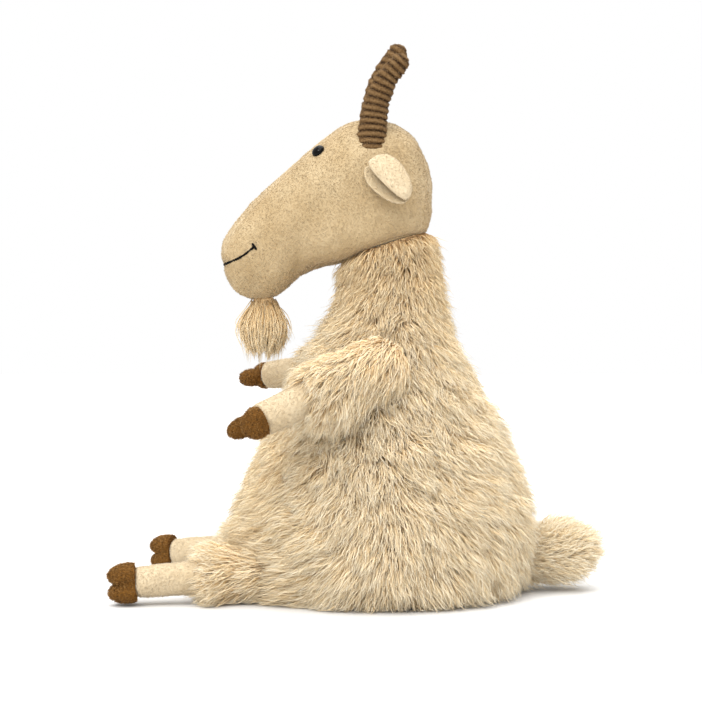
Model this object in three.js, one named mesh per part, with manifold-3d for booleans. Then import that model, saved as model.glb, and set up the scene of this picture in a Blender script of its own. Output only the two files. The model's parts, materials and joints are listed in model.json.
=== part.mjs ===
// A seated plush goat: a long-pile body on a flat base, a short-plush head with corduroy horns,
// four stuffed legs with cloven hooves, a tail and a beard. Every cover is a shell over its own
// stuffing. The goat faces -Y, its left side is at +X, and it sits on z = 0. Millimetres.
import * as THREE from "three";
import { mergeVertices } from "three/addons/utils/BufferGeometryUtils.js";
import Module from "manifold-3d";

const wasm = await Module();
wasm.setup();

// ---------- driving dimensions ----------
const GAP = 0.3; // between pieces that touch
const JOINT_GAP = 0.6; // between the ball and the cup of a joint
const FUR_CLOTH = 2.5; // fur fabric: its backing and the packed foot of the pile
const PLUSH_CLOTH = 1.6; // short plush of the head, shins and hooves
const CORD_CLOTH = 1.2; // corduroy of the horns
const FAR = 400; // larger than the goat, for cutting planes
const THINNEST = 0.4; // radius of a ring that has nearly closed
const WELD = 1e-4; // points nearer than this are one point

// Body, without the pile that stands outside it: height, front, back, half width.
const BODY_ROWS = [
  [0, -58, 72, 60],
  [5, -64, 81, 69],
  [14, -68, 88, 75],
  [30, -69, 91, 77.5],
  [50, -67, 91, 76],
  [75, -58, 83.5, 68],
  [100, -47, 72, 57],
  [125, -35, 58.5, 46],
  [150, -22, 48, 36],
  [172, -12, 42.5, 28.5],
  [190, -9.5, 39.5, 25],
  [206, -10, 38, 24],
  [232, -12, 36, 24],
];
const BODY_SIDES = 26;
const BODY_RINGS = 16;
const BASE_THICKNESS = 2;

// The pouch of pellets slumps into a low heap: height in it, radius.
const POUCH_PROFILE = [
  [0, 39],
  [4, 46],
  [10, 43],
  [17, 30],
  [20, 12],
];
const POUCH_Y = 10;

// The neck joint: a ball of stuffing under a cup in the head.
const NECK_PIVOT = new THREE.Vector3(0, 14, 204);
const NECK_TILT = THREE.MathUtils.degToRad(17.7); // the neck seam rises to the back
const NECK_BALL_RADIUS = 25;
const NECK_BALL_SIDES = 20;
const NECK_SEAM_RISE = 9; // from the pivot to the neck seam
const COLLAR_RADIUS = 25.5; // the head's cloth comes down round the ball to the seam
const COLLAR_TOP = 34; // above the pivot, inside the head
const NOD_CLEARANCE = { up: 15, down: 9 }; // degrees cut off the collar's edge, so that it can nod

// Head, nose to back: y, underside, top, half width.
const HEAD_ROWS = [
  [-88.4, 205.5, 208.5, 1],
  [-87.4, 199, 215, 8],
  [-84.5, 191.5, 220.8, 14],
  [-79, 184.5, 229.3, 18.5],
  [-71, 181, 239.3, 21],
  [-62, 180, 247.8, 23],
  [-52, 184.5, 256.6, 25],
  [-40, 194.5, 267.5, 27.5],
  [-28, 200.5, 277.5, 30],
  [-14, 204, 287, 32],
  [-1, 207.7, 290.5, 33],
  [12, 212, 289.3, 32.5],
  [23, 215.5, 285, 30],
  [31, 218.3, 278.5, 26],
  [37, 222, 266, 18.5],
  [40.5, 232, 254, 9],
  [41.5, 240, 246, 2],
];
const HEAD_SIDES = 22;
const HEAD_RINGS = 20;
const GUSSET_HALF_WIDTH = 13; // the strip from nose to nape between the two side panels
const GUSSET_FOOT = [-92, 206]; // y and z where the strip's lower edge starts, at the nose
const GUSSET_NAPE = [46, 232]; // and where it ends, at the back of the head

const HORN_PATH = [
  [18.5, 4, 262],
  [18.6, 4, 275],
  [19, 5, 290],
  [20, 7.5, 304],
  [21.3, 12.5, 317],
  [22.5, 19.5, 326.5],
  [23.5, 24.5, 332.5],
];
const HORN_STRETCH = { left: 0.91, right: 1.13 }; // upward; the left horn stoops, the right stands
const HORN_BASE_RADIUS = 10.1;
const HORN_TIP_RADIUS = 5.4;
const HORN_TAPER_POWER = 1.25; // above 1, the horn narrows faster near its tip
const HORN_RIBS = 14;
const HORN_RIB_DEPTH = 0.55;
const HORN_SIDES = 10;
const HORN_HOLLOW_RINGS = 12;
const HORN_TIP_BLUNTNESS = 0.9; // the tip ends this far inside its round end

const EAR_ROOT = [38.5, 2.5, 261.5];
const EAR_DIRECTION = [0.5, 0.66, -0.56]; // from the root to the tip
const EAR_LENGTH = 31;
const EAR_HALF_WIDTH = 14.5; // before it is curled
const EAR_ROOT_CURL = THREE.MathUtils.degToRad(165);
const EAR_TIP_CURL = THREE.MathUtils.degToRad(75);
const EAR_WIDEST = 0.5; // along the length
const EAR_ROOT_FULLNESS = 1.15; // above 1, the root end is wider than half an ellipse's end
const EAR_END_WIDTH = 0.14; // of each end, as a share of the widest
const EAR_FACING_UP = 0.35; // how far the ear's outside faces up, for 1 sideways
const EAR_DROOP = 3; // of the tip, towards the head
const EAR_STEPS = 8; // along it and across it
const EAR_LAYER_GAP = 0.6; // between the back and the lining

const EYE_PLACE = [-28.5, 269.5]; // y and z on the side of the head
const EYE_RADIUS = 4;
const EYE_DOME = 2.6;
const EYE_RIM = [0.4, 0.7]; // where the dome's rim starts and ends, out from the head's surface
const EYE_STEM_RADIUS = 1.5;
const EYE_STEM_LENGTH = 8;
const EYE_LEAN = -0.012; // fore and aft, of an eye's outward direction
const EYE_SIDES = 20;
const STEM_SIDES = 12;
const WASHER_RADIUS = 5;
const WASHER_THICKNESS = 1.2;
const WASHER_DEPTH = PLUSH_CLOTH + 1.3; // from the head's surface to its outer face

// The mouth on one side of the muzzle, from the middle of the front to the corner: y, z.
const MOUTH_CORNER_PATH = [
  [-87.2, 202.2],
  [-83, 202],
  [-77, 203.4],
  [-72, 206.6],
  [-67, 211.2],
];
const MOUTH_FRONT = [0, -88.9, 202.6];
const THREAD_RADIUS = 0.55;
const THREAD_STAND = -0.1; // its middle, out from the cloth's surface
const MOUTH_STEPS = 24;
const THREAD_SEGMENTS = 2; // of each curve of its section

const BEARD_PIVOT = [0, -62.5, 173.5];
const BEARD_ROWS = [
  // below the pivot, half width across, half width fore and aft
  [-5, 0.6, 0.6],
  [-4, 3, 3],
  [-1, 4.8, 5],
  [4, 7, 8.5],
  [12, 9.5, 13.5],
  [19, 8.5, 13],
  [26, 5, 8],
  [31.5, 0.8, 1],
];
const BEARD_RINGS = 11;
const BEARD_SIDES = 12;

const TAIL_PIVOT = [0, 101.6, 21];
const TAIL_PITCH = THREE.MathUtils.degToRad(9); // up, to the back
const TAIL_PROFILE = [
  // distance along the tail, radius
  [9, 11.4],
  [20, 12.6],
  [32, 11],
  [42, 6.5],
  [49, 1.2],
];
const TAIL_ROOT_RADIUS = 10.8;
const TAIL_SEAM_OPENING = 2; // radius of the gap in the cover's root, which the filling goes in by

const SIDES = [
  { name: "left", sign: 1 },
  { name: "right", sign: -1 },
];

// A limb runs along its own +Y from its pivot: fur cover, plush cover, hoof.
const FRONT_LEG = {
  pivot: { left: [52.5, 8, 140], right: [52.5, 8, 140] },
  pitch: { left: 22, right: 6 }, // down from level, in degrees
  splay: { left: 28, right: 26 }, // outward
  roll: 5, // of the hoof's cleft about the leg
  furRadius: 12,
  furEndRadius: 11,
  furLength: 47,
  plushRadius: 9.6,
  plushEndRadius: 9,
  plushLength: 35,
  hoof: { lobeRadius: 6, spread: 4.6, depth: 9.4, length: 15.5 },
};
const HIND_LEG = {
  pivot: { left: [45.5, -67.2, 17.5], right: [53.6, -62.5, 17.5] },
  pitch: { left: 3.6, right: 3.6 },
  splay: { left: 8, right: 16 },
  roll: 90,
  furRadius: 12,
  furEndRadius: 11,
  furLength: 25,
  plushRadius: 9.6,
  plushEndRadius: 9,
  plushLength: 42,
  hoof: { lobeRadius: 6.4, spread: 5, depth: 9.6, length: 16 },
};
const LIMB_SIDES = 14;
const TOE_START = 4; // from the hoof's seam to the middle of a toe
const TOE_SIDES = 12;
const TOE_RINGS = 8;

const MATERIALS = {
  fur: { color: 0xd9c3a0, roughness: 0.95 },
  plush: { color: 0xe0c596, roughness: 0.9 },
  pale_plush: { color: 0xf0dcb8, roughness: 0.9 },
  hoof_plush: { color: 0x6b431a, roughness: 0.9 },
  corduroy: { color: 0x6e5033, roughness: 0.85 },
  eye: { color: 0x0c0a08, roughness: 0.15 },
  washer: { color: 0xe8e6df, roughness: 0.6 },
  thread: { color: 0x17110c, roughness: 0.8 },
  stuffing: { color: 0xfafafa, roughness: 1 },
  bean_cloth: { color: 0xd8d8d2, roughness: 0.95 },
};

const goat = new THREE.Group();

// ---------- geometry helpers ----------

// A closed BufferGeometry as a manifold solid.
function solidOf(geometry) {
  const bare = new THREE.BufferGeometry();
  bare.setAttribute("position", geometry.getAttribute("position"));
  bare.setIndex(geometry.getIndex());
  const merged = mergeVertices(bare, WELD);
  return new wasm.Manifold(
    new wasm.Mesh({
      numProp: 3,
      vertProperties: new Float32Array(merged.attributes.position.array),
      triVerts: new Uint32Array(merged.index.array),
    }),
  );
}

// A manifold solid as a BufferGeometry with flat-shaded faces.
function geometryOf(solid) {
  const mesh = solid.getMesh();
  const indexed = new THREE.BufferGeometry();
  indexed.setAttribute("position", new THREE.BufferAttribute(mesh.vertProperties, 3));
  indexed.setIndex(new THREE.BufferAttribute(mesh.triVerts, 1));
  const geometry = indexed.toNonIndexed();
  geometry.computeVertexNormals();
  return geometry;
}

// Adds one named mesh to a group. The shape is a manifold solid or a geometry.
function addNode(group, name, shape, material) {
  const geometry = shape.isBufferGeometry ? shape : geometryOf(shape);
  const mesh = new THREE.Mesh(geometry, new THREE.MeshStandardMaterial(MATERIALS[material]));
  mesh.name = name;
  group.add(mesh);
}

// Rows of numbers as a smooth curve through them, sampled at evenly spaced steps.
function smoothRows(rows, count) {
  const places = rows.map((_, index) => index);
  const curve = new THREE.CubicInterpolant(places, rows.flat(), rows[0].length);
  const last = rows.length - 1;
  return Array.from({ length: count }, (_, step) =>
    Array.from(curve.evaluate((step * last) / (count - 1))),
  );
}

// A closed ring of points about a centre. right x up points along the stack of rings.
function ring(centre, right, up, halfRight, halfUp, sides) {
  return Array.from({ length: sides }, (_, index) => {
    const angle = (2 * Math.PI * index) / sides;
    return centre
      .clone()
      .addScaledVector(right, halfRight * Math.cos(angle))
      .addScaledVector(up, halfUp * Math.sin(angle));
  });
}

// A solid with walls between neighbouring rings and a cap on each end.
function loft(rings) {
  const sides = rings[0].length;
  const points = rings.flat();
  const faces = [];
  for (let level = 0; level < rings.length - 1; level++) {
    for (let side = 0; side < sides; side++) {
      const next = (side + 1) % sides;
      const [a, b] = [level * sides + side, level * sides + next];
      const [c, d] = [b + sides, a + sides];
      faces.push(a, b, c, a, c, d);
    }
  }
  const middle = (level) =>
    level.reduce((sum, point) => sum.add(point), new THREE.Vector3()).divideScalar(sides);
  const first = points.length;
  points.push(middle(rings[0]), middle(rings.at(-1)));
  const lastLevel = (rings.length - 1) * sides;
  for (let side = 0; side < sides; side++) {
    const next = (side + 1) % sides;
    faces.push(first, next, side, first + 1, lastLevel + side, lastLevel + next);
  }
  const geometry = new THREE.BufferGeometry().setFromPoints(points);
  geometry.setIndex(faces);
  return solidOf(geometry);
}

// A turned solid about local +Y, from [distance along, radius] pairs; it closes on the axis.
function turned(profile, sides) {
  const [start, end] = [profile[0][0], profile.at(-1)[0]];
  const outline = profile.map(([along, radius]) => new THREE.Vector2(radius, along));
  outline.unshift(new THREE.Vector2(0, start));
  outline.push(new THREE.Vector2(0, end));
  return solidOf(new THREE.LatheGeometry(outline, sides));
}

function ball(radius, centre) {
  const geometry = new THREE.SphereGeometry(radius, NECK_BALL_SIDES, NECK_BALL_SIDES / 2);
  geometry.translate(centre.x, centre.y, centre.z);
  return solidOf(geometry);
}

function box(low, high) {
  const size = high.clone().sub(low);
  const geometry = new THREE.BoxGeometry(size.x, size.y, size.z);
  geometry.translate(...low.clone().add(high).divideScalar(2).toArray());
  return solidOf(geometry);
}

// Everything on one side of a tilted plane through a point: the side that turned +Z points to.
function halfSpace(point, tiltAboutX) {
  const geometry = new THREE.BoxGeometry(2 * FAR, 2 * FAR, 2 * FAR);
  geometry.translate(0, 0, FAR);
  geometry.rotateX(tiltAboutX);
  geometry.translate(point.x, point.y, point.z);
  return solidOf(geometry);
}

// The profile of a half ball behind the origin, for the round root of a limb or the tail.
function roundStart(radius, steps = 5) {
  const firstShare = 0.35; // of a step, so that the profile doesn't start on the axis
  return Array.from({ length: steps }, (_, step) => {
    const angle = (Math.PI / 2) * (1 - (step + firstShare) / steps);
    return [-radius * Math.sin(angle), radius * Math.cos(angle)];
  });
}

// ---------- body ----------
const neckNormal = new THREE.Vector3(0, -Math.sin(NECK_TILT), Math.cos(NECK_TILT));
const neckSeam = NECK_PIVOT.clone().addScaledVector(neckNormal, NECK_SEAM_RISE);
const aboveSeam = halfSpace(neckSeam, NECK_TILT);
const abovePivot = halfSpace(NECK_PIVOT, NECK_TILT);
const belowBase = 5; // how far the body's inside is cut through its base

function bodyRing([height, front, back, halfWidth], inset) {
  return ring(
    new THREE.Vector3(0, (front + back) / 2, height),
    new THREE.Vector3(1, 0, 0),
    new THREE.Vector3(0, 1, 0),
    halfWidth - inset,
    (back - front) / 2 - inset,
    BODY_SIDES,
  );
}

// The body's shape with its surface moved in by inset; below z = 0 it goes straight down by depth.
// Above the neck pivot it stays inside the neck ball.
function bodyShape(inset, depth = 0) {
  const rows = smoothRows(BODY_ROWS, BODY_RINGS);
  if (depth > 0) rows.unshift([-depth, ...rows[0].slice(1)]);
  const outsideBall = abovePivot.subtract(ball(NECK_BALL_RADIUS - inset, NECK_PIVOT));
  return loft(rows.map((row) => bodyRing(row, inset))).subtract(outsideBall);
}

function sideOfMiddle(sign, margin) {
  const low = new THREE.Vector3(sign > 0 ? margin : -FAR, -FAR, -FAR);
  const high = new THREE.Vector3(sign > 0 ? FAR : -margin, FAR, FAR);
  return box(low, high);
}

function bodyNodes() {
  const cover = bodyShape(0).subtract(bodyShape(FUR_CLOTH, belowBase)).subtract(aboveSeam);
  for (const { name, sign } of SIDES) {
    const half = cover.intersect(sideOfMiddle(sign, GAP / 2));
    addNode(goat, `body_cover_${name}`, half, "fur");
  }

  const panelRings = [0, BASE_THICKNESS].map((height) =>
    bodyRing([height, ...BODY_ROWS[0].slice(1)], FUR_CLOTH + GAP),
  );
  addNode(goat, "base_panel", loft(panelRings), "fur");

  const floorOfStuffing = BASE_THICKNESS + GAP;
  const pouchProfile = (grow) =>
    POUCH_PROFILE.map(([height, radius], index) => {
      const isEnd = index === 0 || index === POUCH_PROFILE.length - 1;
      const outward = index === 0 ? -grow : grow;
      return [isEnd ? height + outward : height, radius + grow];
    });
  const placed = (profile) =>
    turned(profile, BODY_SIDES)
      .rotate([90, 0, 0])
      .translate([0, POUCH_Y, floorOfStuffing]);
  addNode(goat, "bean_pouch", placed(pouchProfile(0)), "bean_cloth");

  const aboveBase = halfSpace(new THREE.Vector3(0, 0, floorOfStuffing), 0);
  const stuffing = bodyShape(FUR_CLOTH + GAP).intersect(aboveBase);
  addNode(goat, "body_stuffing", stuffing.subtract(placed(pouchProfile(GAP))), "stuffing");
}

// ---------- head ----------

// The part of the head that comes down round the neck ball. Its lower edge leaves room to nod.
function neckCollar(inset) {
  const bottom = inset > 0 ? 0 : NECK_SEAM_RISE + JOINT_GAP;
  const radius = COLLAR_RADIUS - inset;
  const upright = turned([[bottom, radius], [COLLAR_TOP - inset, radius]], BODY_SIDES);
  const collar = upright
    .rotate([90 + THREE.MathUtils.radToDeg(NECK_TILT), 0, 0])
    .translate(NECK_PIVOT.toArray());
  if (inset > 0) return collar;
  const edge = NECK_PIVOT.clone().addScaledVector(neckNormal, NECK_SEAM_RISE + JOINT_GAP);
  const tilts = [NOD_CLEARANCE.up, -NOD_CLEARANCE.down].map(THREE.MathUtils.degToRad);
  return tilts.reduce((shape, tilt) => shape.intersect(halfSpace(edge, NECK_TILT + tilt)), collar);
}

function headShape(inset) {
  const rows = smoothRows(HEAD_ROWS, HEAD_RINGS);
  const [nose, nape] = [HEAD_ROWS[0][0], HEAD_ROWS.at(-1)[0]];
  const shorten = (nape - nose - 2 * inset) / (nape - nose);
  const rings = rows.map(([y, under, top, halfWidth]) =>
    ring(
      new THREE.Vector3(0, nose + inset + (y - nose) * shorten, (under + top) / 2),
      new THREE.Vector3(0, 0, 1),
      new THREE.Vector3(1, 0, 0),
      Math.max((top - under) / 2 - inset, THINNEST),
      Math.max(halfWidth - inset, THINNEST),
      HEAD_SIDES,
    ),
  );
  return loft(rings);
}

// The head's half width at a place on its side, and its outward direction there.
function headSide(y, z) {
  const fineRings = 400;
  const row = smoothRows(HEAD_ROWS, fineRings).find((candidate) => candidate[0] >= y);
  const [, under, top, halfWidth] = row;
  const [middle, halfHeight] = [(under + top) / 2, (top - under) / 2];
  const rise = (z - middle) / halfHeight;
  const x = halfWidth * Math.sqrt(Math.max(1 - rise * rise, 0));
  return { x, outward: new THREE.Vector3(x / halfWidth ** 2, 0, rise / halfHeight) };
}

// The mouth's thread follows the muzzle from one corner round the front to the other.
function mouthCurve(stand) {
  const half = MOUTH_CORNER_PATH.map(([y, z]) => [headSide(y, z).x + stand, y - stand / 2, z]);
  const left = half.map(([x, y, z]) => new THREE.Vector3(x, y, z));
  const right = half.map(([x, y, z]) => new THREE.Vector3(-x, y, z)).reverse();
  return new THREE.CatmullRomCurve3([...right, new THREE.Vector3(...MOUTH_FRONT), ...left]);
}

function threadAlong(curve, radius) {
  const section = new THREE.Shape().absarc(0, 0, radius, 0, 2 * Math.PI);
  const options = {
    steps: MOUTH_STEPS,
    extrudePath: curve,
    curveSegments: THREAD_SEGMENTS,
    bevelEnabled: false,
  };
  return solidOf(new THREE.ExtrudeGeometry(section, options));
}

// A group at a point of the head's surface, its local +Y pointing outward.
function onHead(sign, [y, z]) {
  const { x, outward } = headSide(y, z);
  const group = new THREE.Group();
  group.position.set(sign * x, y, z);
  const direction = outward.clone().setX(sign * outward.x).setY(EYE_LEAN).normalize();
  group.quaternion.setFromUnitVectors(new THREE.Vector3(0, 1, 0), direction);
  group.updateMatrix();
  return group;
}

// A solid in a group's own frame, moved to where the group puts it.
function inPlace(solid, group) {
  return solid.transform(group.matrix.toArray());
}

function hornSolid({ name, sign }, inset, ribDepth, rings) {
  const foot = HORN_PATH[0][2];
  const height = (z) => foot + (z - foot) * HORN_STRETCH[name];
  const curve = new THREE.CatmullRomCurve3(
    HORN_PATH.map(([x, y, z]) => new THREE.Vector3(sign * x, y, height(z))),
  );
  const length = curve.getLength();
  const sections = Array.from({ length: rings }, (_, index) => {
    const along = index / (rings - 1);
    const centre = curve.getPointAt(along);
    const tangent = curve.getTangentAt(along);
    const right = new THREE.Vector3(1, 0, 0).addScaledVector(tangent, -tangent.x).normalize();
    const up = tangent.clone().cross(right);
    const taper = THREE.MathUtils.lerp(HORN_BASE_RADIUS, HORN_TIP_RADIUS, along ** HORN_TAPER_POWER);
    const fromTip = length * (1 - along) + HORN_TIP_BLUNTNESS;
    const roundTip = Math.min(1, Math.sqrt(fromTip / HORN_TIP_RADIUS));
    const rib = index % 2 ? 0 : -ribDepth;
    const radius = Math.max(taper * roundTip + rib - inset, THINNEST);
    return ring(centre, right, up, radius, radius, HORN_SIDES);
  });
  return loft(sections);
}

// A curled leaf between two offsets from its middle surface, root at the origin, tip along +Y.
function earSheet(low, high) {
  const surface = (along, across, offset) => {
    const narrowing = along < EAR_WIDEST ? EAR_ROOT_FULLNESS * EAR_WIDEST : 1 - EAR_WIDEST;
    const beyond = (along - EAR_WIDEST) / narrowing;
    const share = Math.max(Math.sqrt(Math.max(1 - beyond * beyond, 0)), EAR_END_WIDTH);
    const halfWidth = EAR_HALF_WIDTH * share;
    const curl = THREE.MathUtils.lerp(EAR_ROOT_CURL, EAR_TIP_CURL, along);
    const radius = (2 * halfWidth) / curl;
    const angle = (across * curl) / 2;
    const droop = EAR_DROOP * along * along;
    const [x, z] = [Math.sin(angle), Math.cos(angle)];
    return new THREE.Vector3(
      (radius + offset) * x,
      along * EAR_LENGTH,
      (radius + offset) * z - radius - droop,
    );
  };
  const across = Array.from({ length: EAR_STEPS + 1 }, (_, step) => (2 * step) / EAR_STEPS - 1);
  const sections = Array.from({ length: EAR_STEPS }, (_, index) => {
    const along = index / (EAR_STEPS - 1);
    const outside = across.map((place) => surface(along, place, high));
    const inside = across.map((place) => surface(along, -place, low));
    return [...inside, ...outside];
  });
  return loft(sections);
}

function earNodes({ name, sign }) {
  const ear = new THREE.Group();
  const along = new THREE.Vector3(...EAR_DIRECTION).normalize();
  along.x *= sign;
  const outward = new THREE.Vector3(sign, 0, EAR_FACING_UP);
  outward.addScaledVector(along, -outward.dot(along)).normalize();
  const across = along.clone().cross(outward);
  ear.matrix.makeBasis(across, along, outward);
  ear.quaternion.setFromRotationMatrix(ear.matrix);
  ear.position.set(sign * EAR_ROOT[0], EAR_ROOT[1], EAR_ROOT[2]);
  addNode(ear, `ear_${name}_back`, earSheet(EAR_LAYER_GAP / 2, PLUSH_CLOTH), "pale_plush");
  addNode(ear, `ear_${name}_lining`, earSheet(-PLUSH_CLOTH, -EAR_LAYER_GAP / 2), "plush");
  goat.add(ear);
}

// One eye, its washer, and the room that they need in the head, in the eye's own frame.
function eyeParts() {
  const [rimStart, rimEnd] = EYE_RIM;
  const rod = (radius, from, to, sides) => turned([[from, radius], [to, radius]], sides);
  const domeSteps = 5;
  const dome = Array.from({ length: domeSteps }, (_, step) => {
    const angle = (Math.PI / 2) * (step / domeSteps);
    return [rimEnd + EYE_DOME * Math.sin(angle), EYE_RADIUS * Math.cos(angle)];
  });
  const eye = turned(
    [
      [-EYE_STEM_LENGTH, EYE_STEM_RADIUS],
      [rimStart, EYE_STEM_RADIUS],
      [rimStart, EYE_RADIUS - GAP],
      ...dome,
      [rimEnd + EYE_DOME, 2 * THINNEST],
    ],
    EYE_SIDES,
  );
  const hole = rod(EYE_STEM_RADIUS + GAP, -FAR, FAR, STEM_SIDES);
  const washer = rod(WASHER_RADIUS, -WASHER_DEPTH - WASHER_THICKNESS, -WASHER_DEPTH, EYE_SIDES);
  return {
    eye,
    washer: washer.subtract(hole),
    stemHole: rod(EYE_STEM_RADIUS + GAP, -EYE_STEM_LENGTH, EYE_DOME, STEM_SIDES),
    washerRoom: rod(WASHER_RADIUS + 1, -EYE_STEM_LENGTH - 1, EYE_DOME, EYE_SIDES),
  };
}

function hornNodes(side) {
  const headRoom = headShape(-GAP);
  const hollow = hornSolid(side, CORD_CLOTH, 0, HORN_HOLLOW_RINGS);
  const ribbed = hornSolid(side, 0, HORN_RIB_DEPTH, 2 * HORN_RIBS + 1);
  addNode(goat, `horn_${side.name}_cover`, ribbed.subtract(hollow).subtract(headRoom), "corduroy");
  const filling = hornSolid(side, CORD_CLOTH + GAP, 0, HORN_HOLLOW_RINGS).subtract(headRoom);
  addNode(goat, `horn_${side.name}_stuffing`, filling, "stuffing");
}

// The strip along the top of the face, from nose to nape, grown by a seam's gap where asked.
function gussetStrip(grow) {
  const [footY, footZ] = GUSSET_FOOT;
  const [napeY, napeZ] = GUSSET_NAPE;
  const slope = Math.atan2(napeZ - footZ, napeY - footY);
  const halfWidth = GUSSET_HALF_WIDTH + grow;
  const low = new THREE.Vector3(-halfWidth, -FAR, -FAR);
  const high = new THREE.Vector3(halfWidth, FAR, FAR);
  return halfSpace(new THREE.Vector3(0, footY, footZ - grow), slope).intersect(box(low, high));
}

function headNodes() {
  const cup = ball(NECK_BALL_RADIUS + JOINT_GAP, NECK_PIVOT);
  const thread = (radius) => threadAlong(mouthCurve(THREAD_STAND), radius);
  const groove = thread(THREAD_RADIUS + GAP);
  const inside = headShape(PLUSH_CLOTH).add(neckCollar(PLUSH_CLOTH));
  let cover = headShape(0).add(neckCollar(0)).subtract(inside).subtract(cup).subtract(groove);
  let stuffing = headShape(PLUSH_CLOTH + GAP).subtract(cup).subtract(groove);
  addNode(goat, "mouth_stitch", thread(THREAD_RADIUS), "thread");

  for (const side of SIDES) {
    const socket = onHead(side.sign, EYE_PLACE);
    const { eye, washer, stemHole, washerRoom } = eyeParts();
    cover = cover.subtract(inPlace(stemHole, socket));
    stuffing = stuffing.subtract(inPlace(washerRoom, socket));
    addNode(socket, `eye_${side.name}`, eye, "eye");
    addNode(socket, `eye_washer_${side.name}`, washer, "washer");
    goat.add(socket);
    hornNodes(side);
  }

  addNode(goat, "head_gusset", cover.intersect(gussetStrip(0)), "pale_plush");
  const rest = cover.subtract(gussetStrip(GAP));
  for (const { name, sign } of SIDES) {
    const half = rest.intersect(sideOfMiddle(sign, GAP / 2));
    addNode(goat, `head_side_${name}`, half, "plush");
  }
  addNode(goat, "head_stuffing", stuffing, "stuffing");
}

// ---------- beard and tail ----------
function beardNode() {
  const rings = smoothRows(BEARD_ROWS, BEARD_RINGS).map(([below, halfAcross, halfAlong]) =>
    ring(
      new THREE.Vector3(0, 0, -below),
      new THREE.Vector3(0, 1, 0),
      new THREE.Vector3(1, 0, 0),
      Math.max(halfAlong, THINNEST),
      Math.max(halfAcross, THINNEST),
      BEARD_SIDES,
    ),
  );
  const beard = new THREE.Group();
  beard.position.set(...BEARD_PIVOT);
  addNode(beard, "beard", loft(rings), "fur");
  goat.add(beard);
}

function tailNodes() {
  const tail = new THREE.Group();
  tail.position.set(...TAIL_PIVOT);
  tail.rotation.x = TAIL_PITCH;
  const tube = (inset) => {
    const rows = TAIL_PROFILE.map(([along, radius]) => [along, Math.max(radius - inset, THINNEST)]);
    rows.at(-1)[0] -= 2 * inset;
    return turned([...roundStart(TAIL_ROOT_RADIUS - inset), ...rows], LIMB_SIDES);
  };
  const seamOpening = turned([[-FAR, TAIL_SEAM_OPENING], [0, TAIL_SEAM_OPENING]], STEM_SIDES);
  const cover = tube(0).subtract(tube(FUR_CLOTH)).subtract(seamOpening);
  addNode(tail, "tail_cover", cover, "fur");
  addNode(tail, "tail_stuffing", tube(FUR_CLOTH + GAP), "stuffing");
  goat.add(tail);
}

// ---------- legs ----------
function hoofShape({ lobeRadius, spread, depth, length }, start, inset) {
  const lobe = (sign) => {
    const geometry = new THREE.SphereGeometry(1, TOE_SIDES, TOE_RINGS);
    geometry.scale(lobeRadius - inset, length - TOE_START - inset, depth - inset);
    geometry.translate(sign * spread, start + TOE_START, 0);
    return solidOf(geometry);
  };
  return lobe(1).add(lobe(-1));
}

function limbNodes(kind, limb, { name, sign }) {
  const group = new THREE.Group();
  const [x, y, z] = limb.pivot[name];
  group.position.set(sign * x, y, z);
  const radians = THREE.MathUtils.degToRad;
  const turns = [
    [new THREE.Vector3(0, 0, 1), sign * radians(limb.splay[name])],
    [new THREE.Vector3(1, 0, 0), radians(limb.pitch[name])],
    [new THREE.Vector3(0, 0, 1), Math.PI],
    [new THREE.Vector3(0, 1, 0), sign * radians(limb.roll)],
  ];
  for (const [axis, angle] of turns) {
    group.quaternion.multiply(new THREE.Quaternion().setFromAxisAngle(axis, angle));
  }

  const furEnd = limb.furLength;
  const plushStart = furEnd + GAP;
  const plushEnd = plushStart + limb.plushLength;
  const hoofStart = plushEnd + GAP;

  const furTube = (inset, beyond) =>
    turned(
      [
        ...roundStart(limb.furRadius - inset),
        [furEnd / 2, limb.furRadius - inset],
        [furEnd + beyond, limb.furEndRadius - inset],
      ],
      LIMB_SIDES,
    );
  const furCover = furTube(0, 0).subtract(furTube(FUR_CLOTH, 1));
  addNode(group, `${kind}_${name}_fur_cover`, furCover, "fur");

  const plushTube = (inset, before, beyond) =>
    turned(
      [
        [plushStart - before, limb.plushRadius - inset],
        [plushEnd + beyond, limb.plushEndRadius - inset],
      ],
      LIMB_SIDES,
    );
  const plushCover = plushTube(0, 0, 0).subtract(plushTube(PLUSH_CLOTH, 1, 1));
  addNode(group, `${kind}_${name}_plush_cover`, plushCover, "pale_plush");

  const before = (along) => turned([[-FAR, FAR], [along, FAR]], LIMB_SIDES);
  const hoof = hoofShape(limb.hoof, hoofStart, 0).subtract(before(hoofStart));
  const hoofInside = hoofShape(limb.hoof, hoofStart, PLUSH_CLOTH);
  addNode(group, `${kind}_${name}_hoof`, hoof.subtract(hoofInside), "hoof_plush");

  const slack = FUR_CLOTH + GAP;
  const toes = hoofShape(limb.hoof, hoofStart, PLUSH_CLOTH + GAP).subtract(before(plushEnd));
  const stuffing = furTube(slack, 0)
    .add(plushTube(PLUSH_CLOTH + GAP, 2 * GAP, GAP / 2))
    .add(toes);
  addNode(group, `${kind}_${name}_stuffing`, stuffing, "stuffing");
  goat.add(group);
}

bodyNodes();
headNodes();
beardNode();
tailNodes();
for (const side of SIDES) {
  earNodes(side);
  limbNodes("front_leg", FRONT_LEG, side);
  limbNodes("hind_leg", HIND_LEG, side);
}

export default goat;
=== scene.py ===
"""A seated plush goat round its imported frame: long-pile fur, short plush, corduroy horns.

Shapes are worked out in millimetres in the frame's axes: the goat faces -Y, its left is at +X.
"""

import json
import math

import bmesh
import bpy
import numpy as np
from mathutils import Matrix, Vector, kdtree


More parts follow.
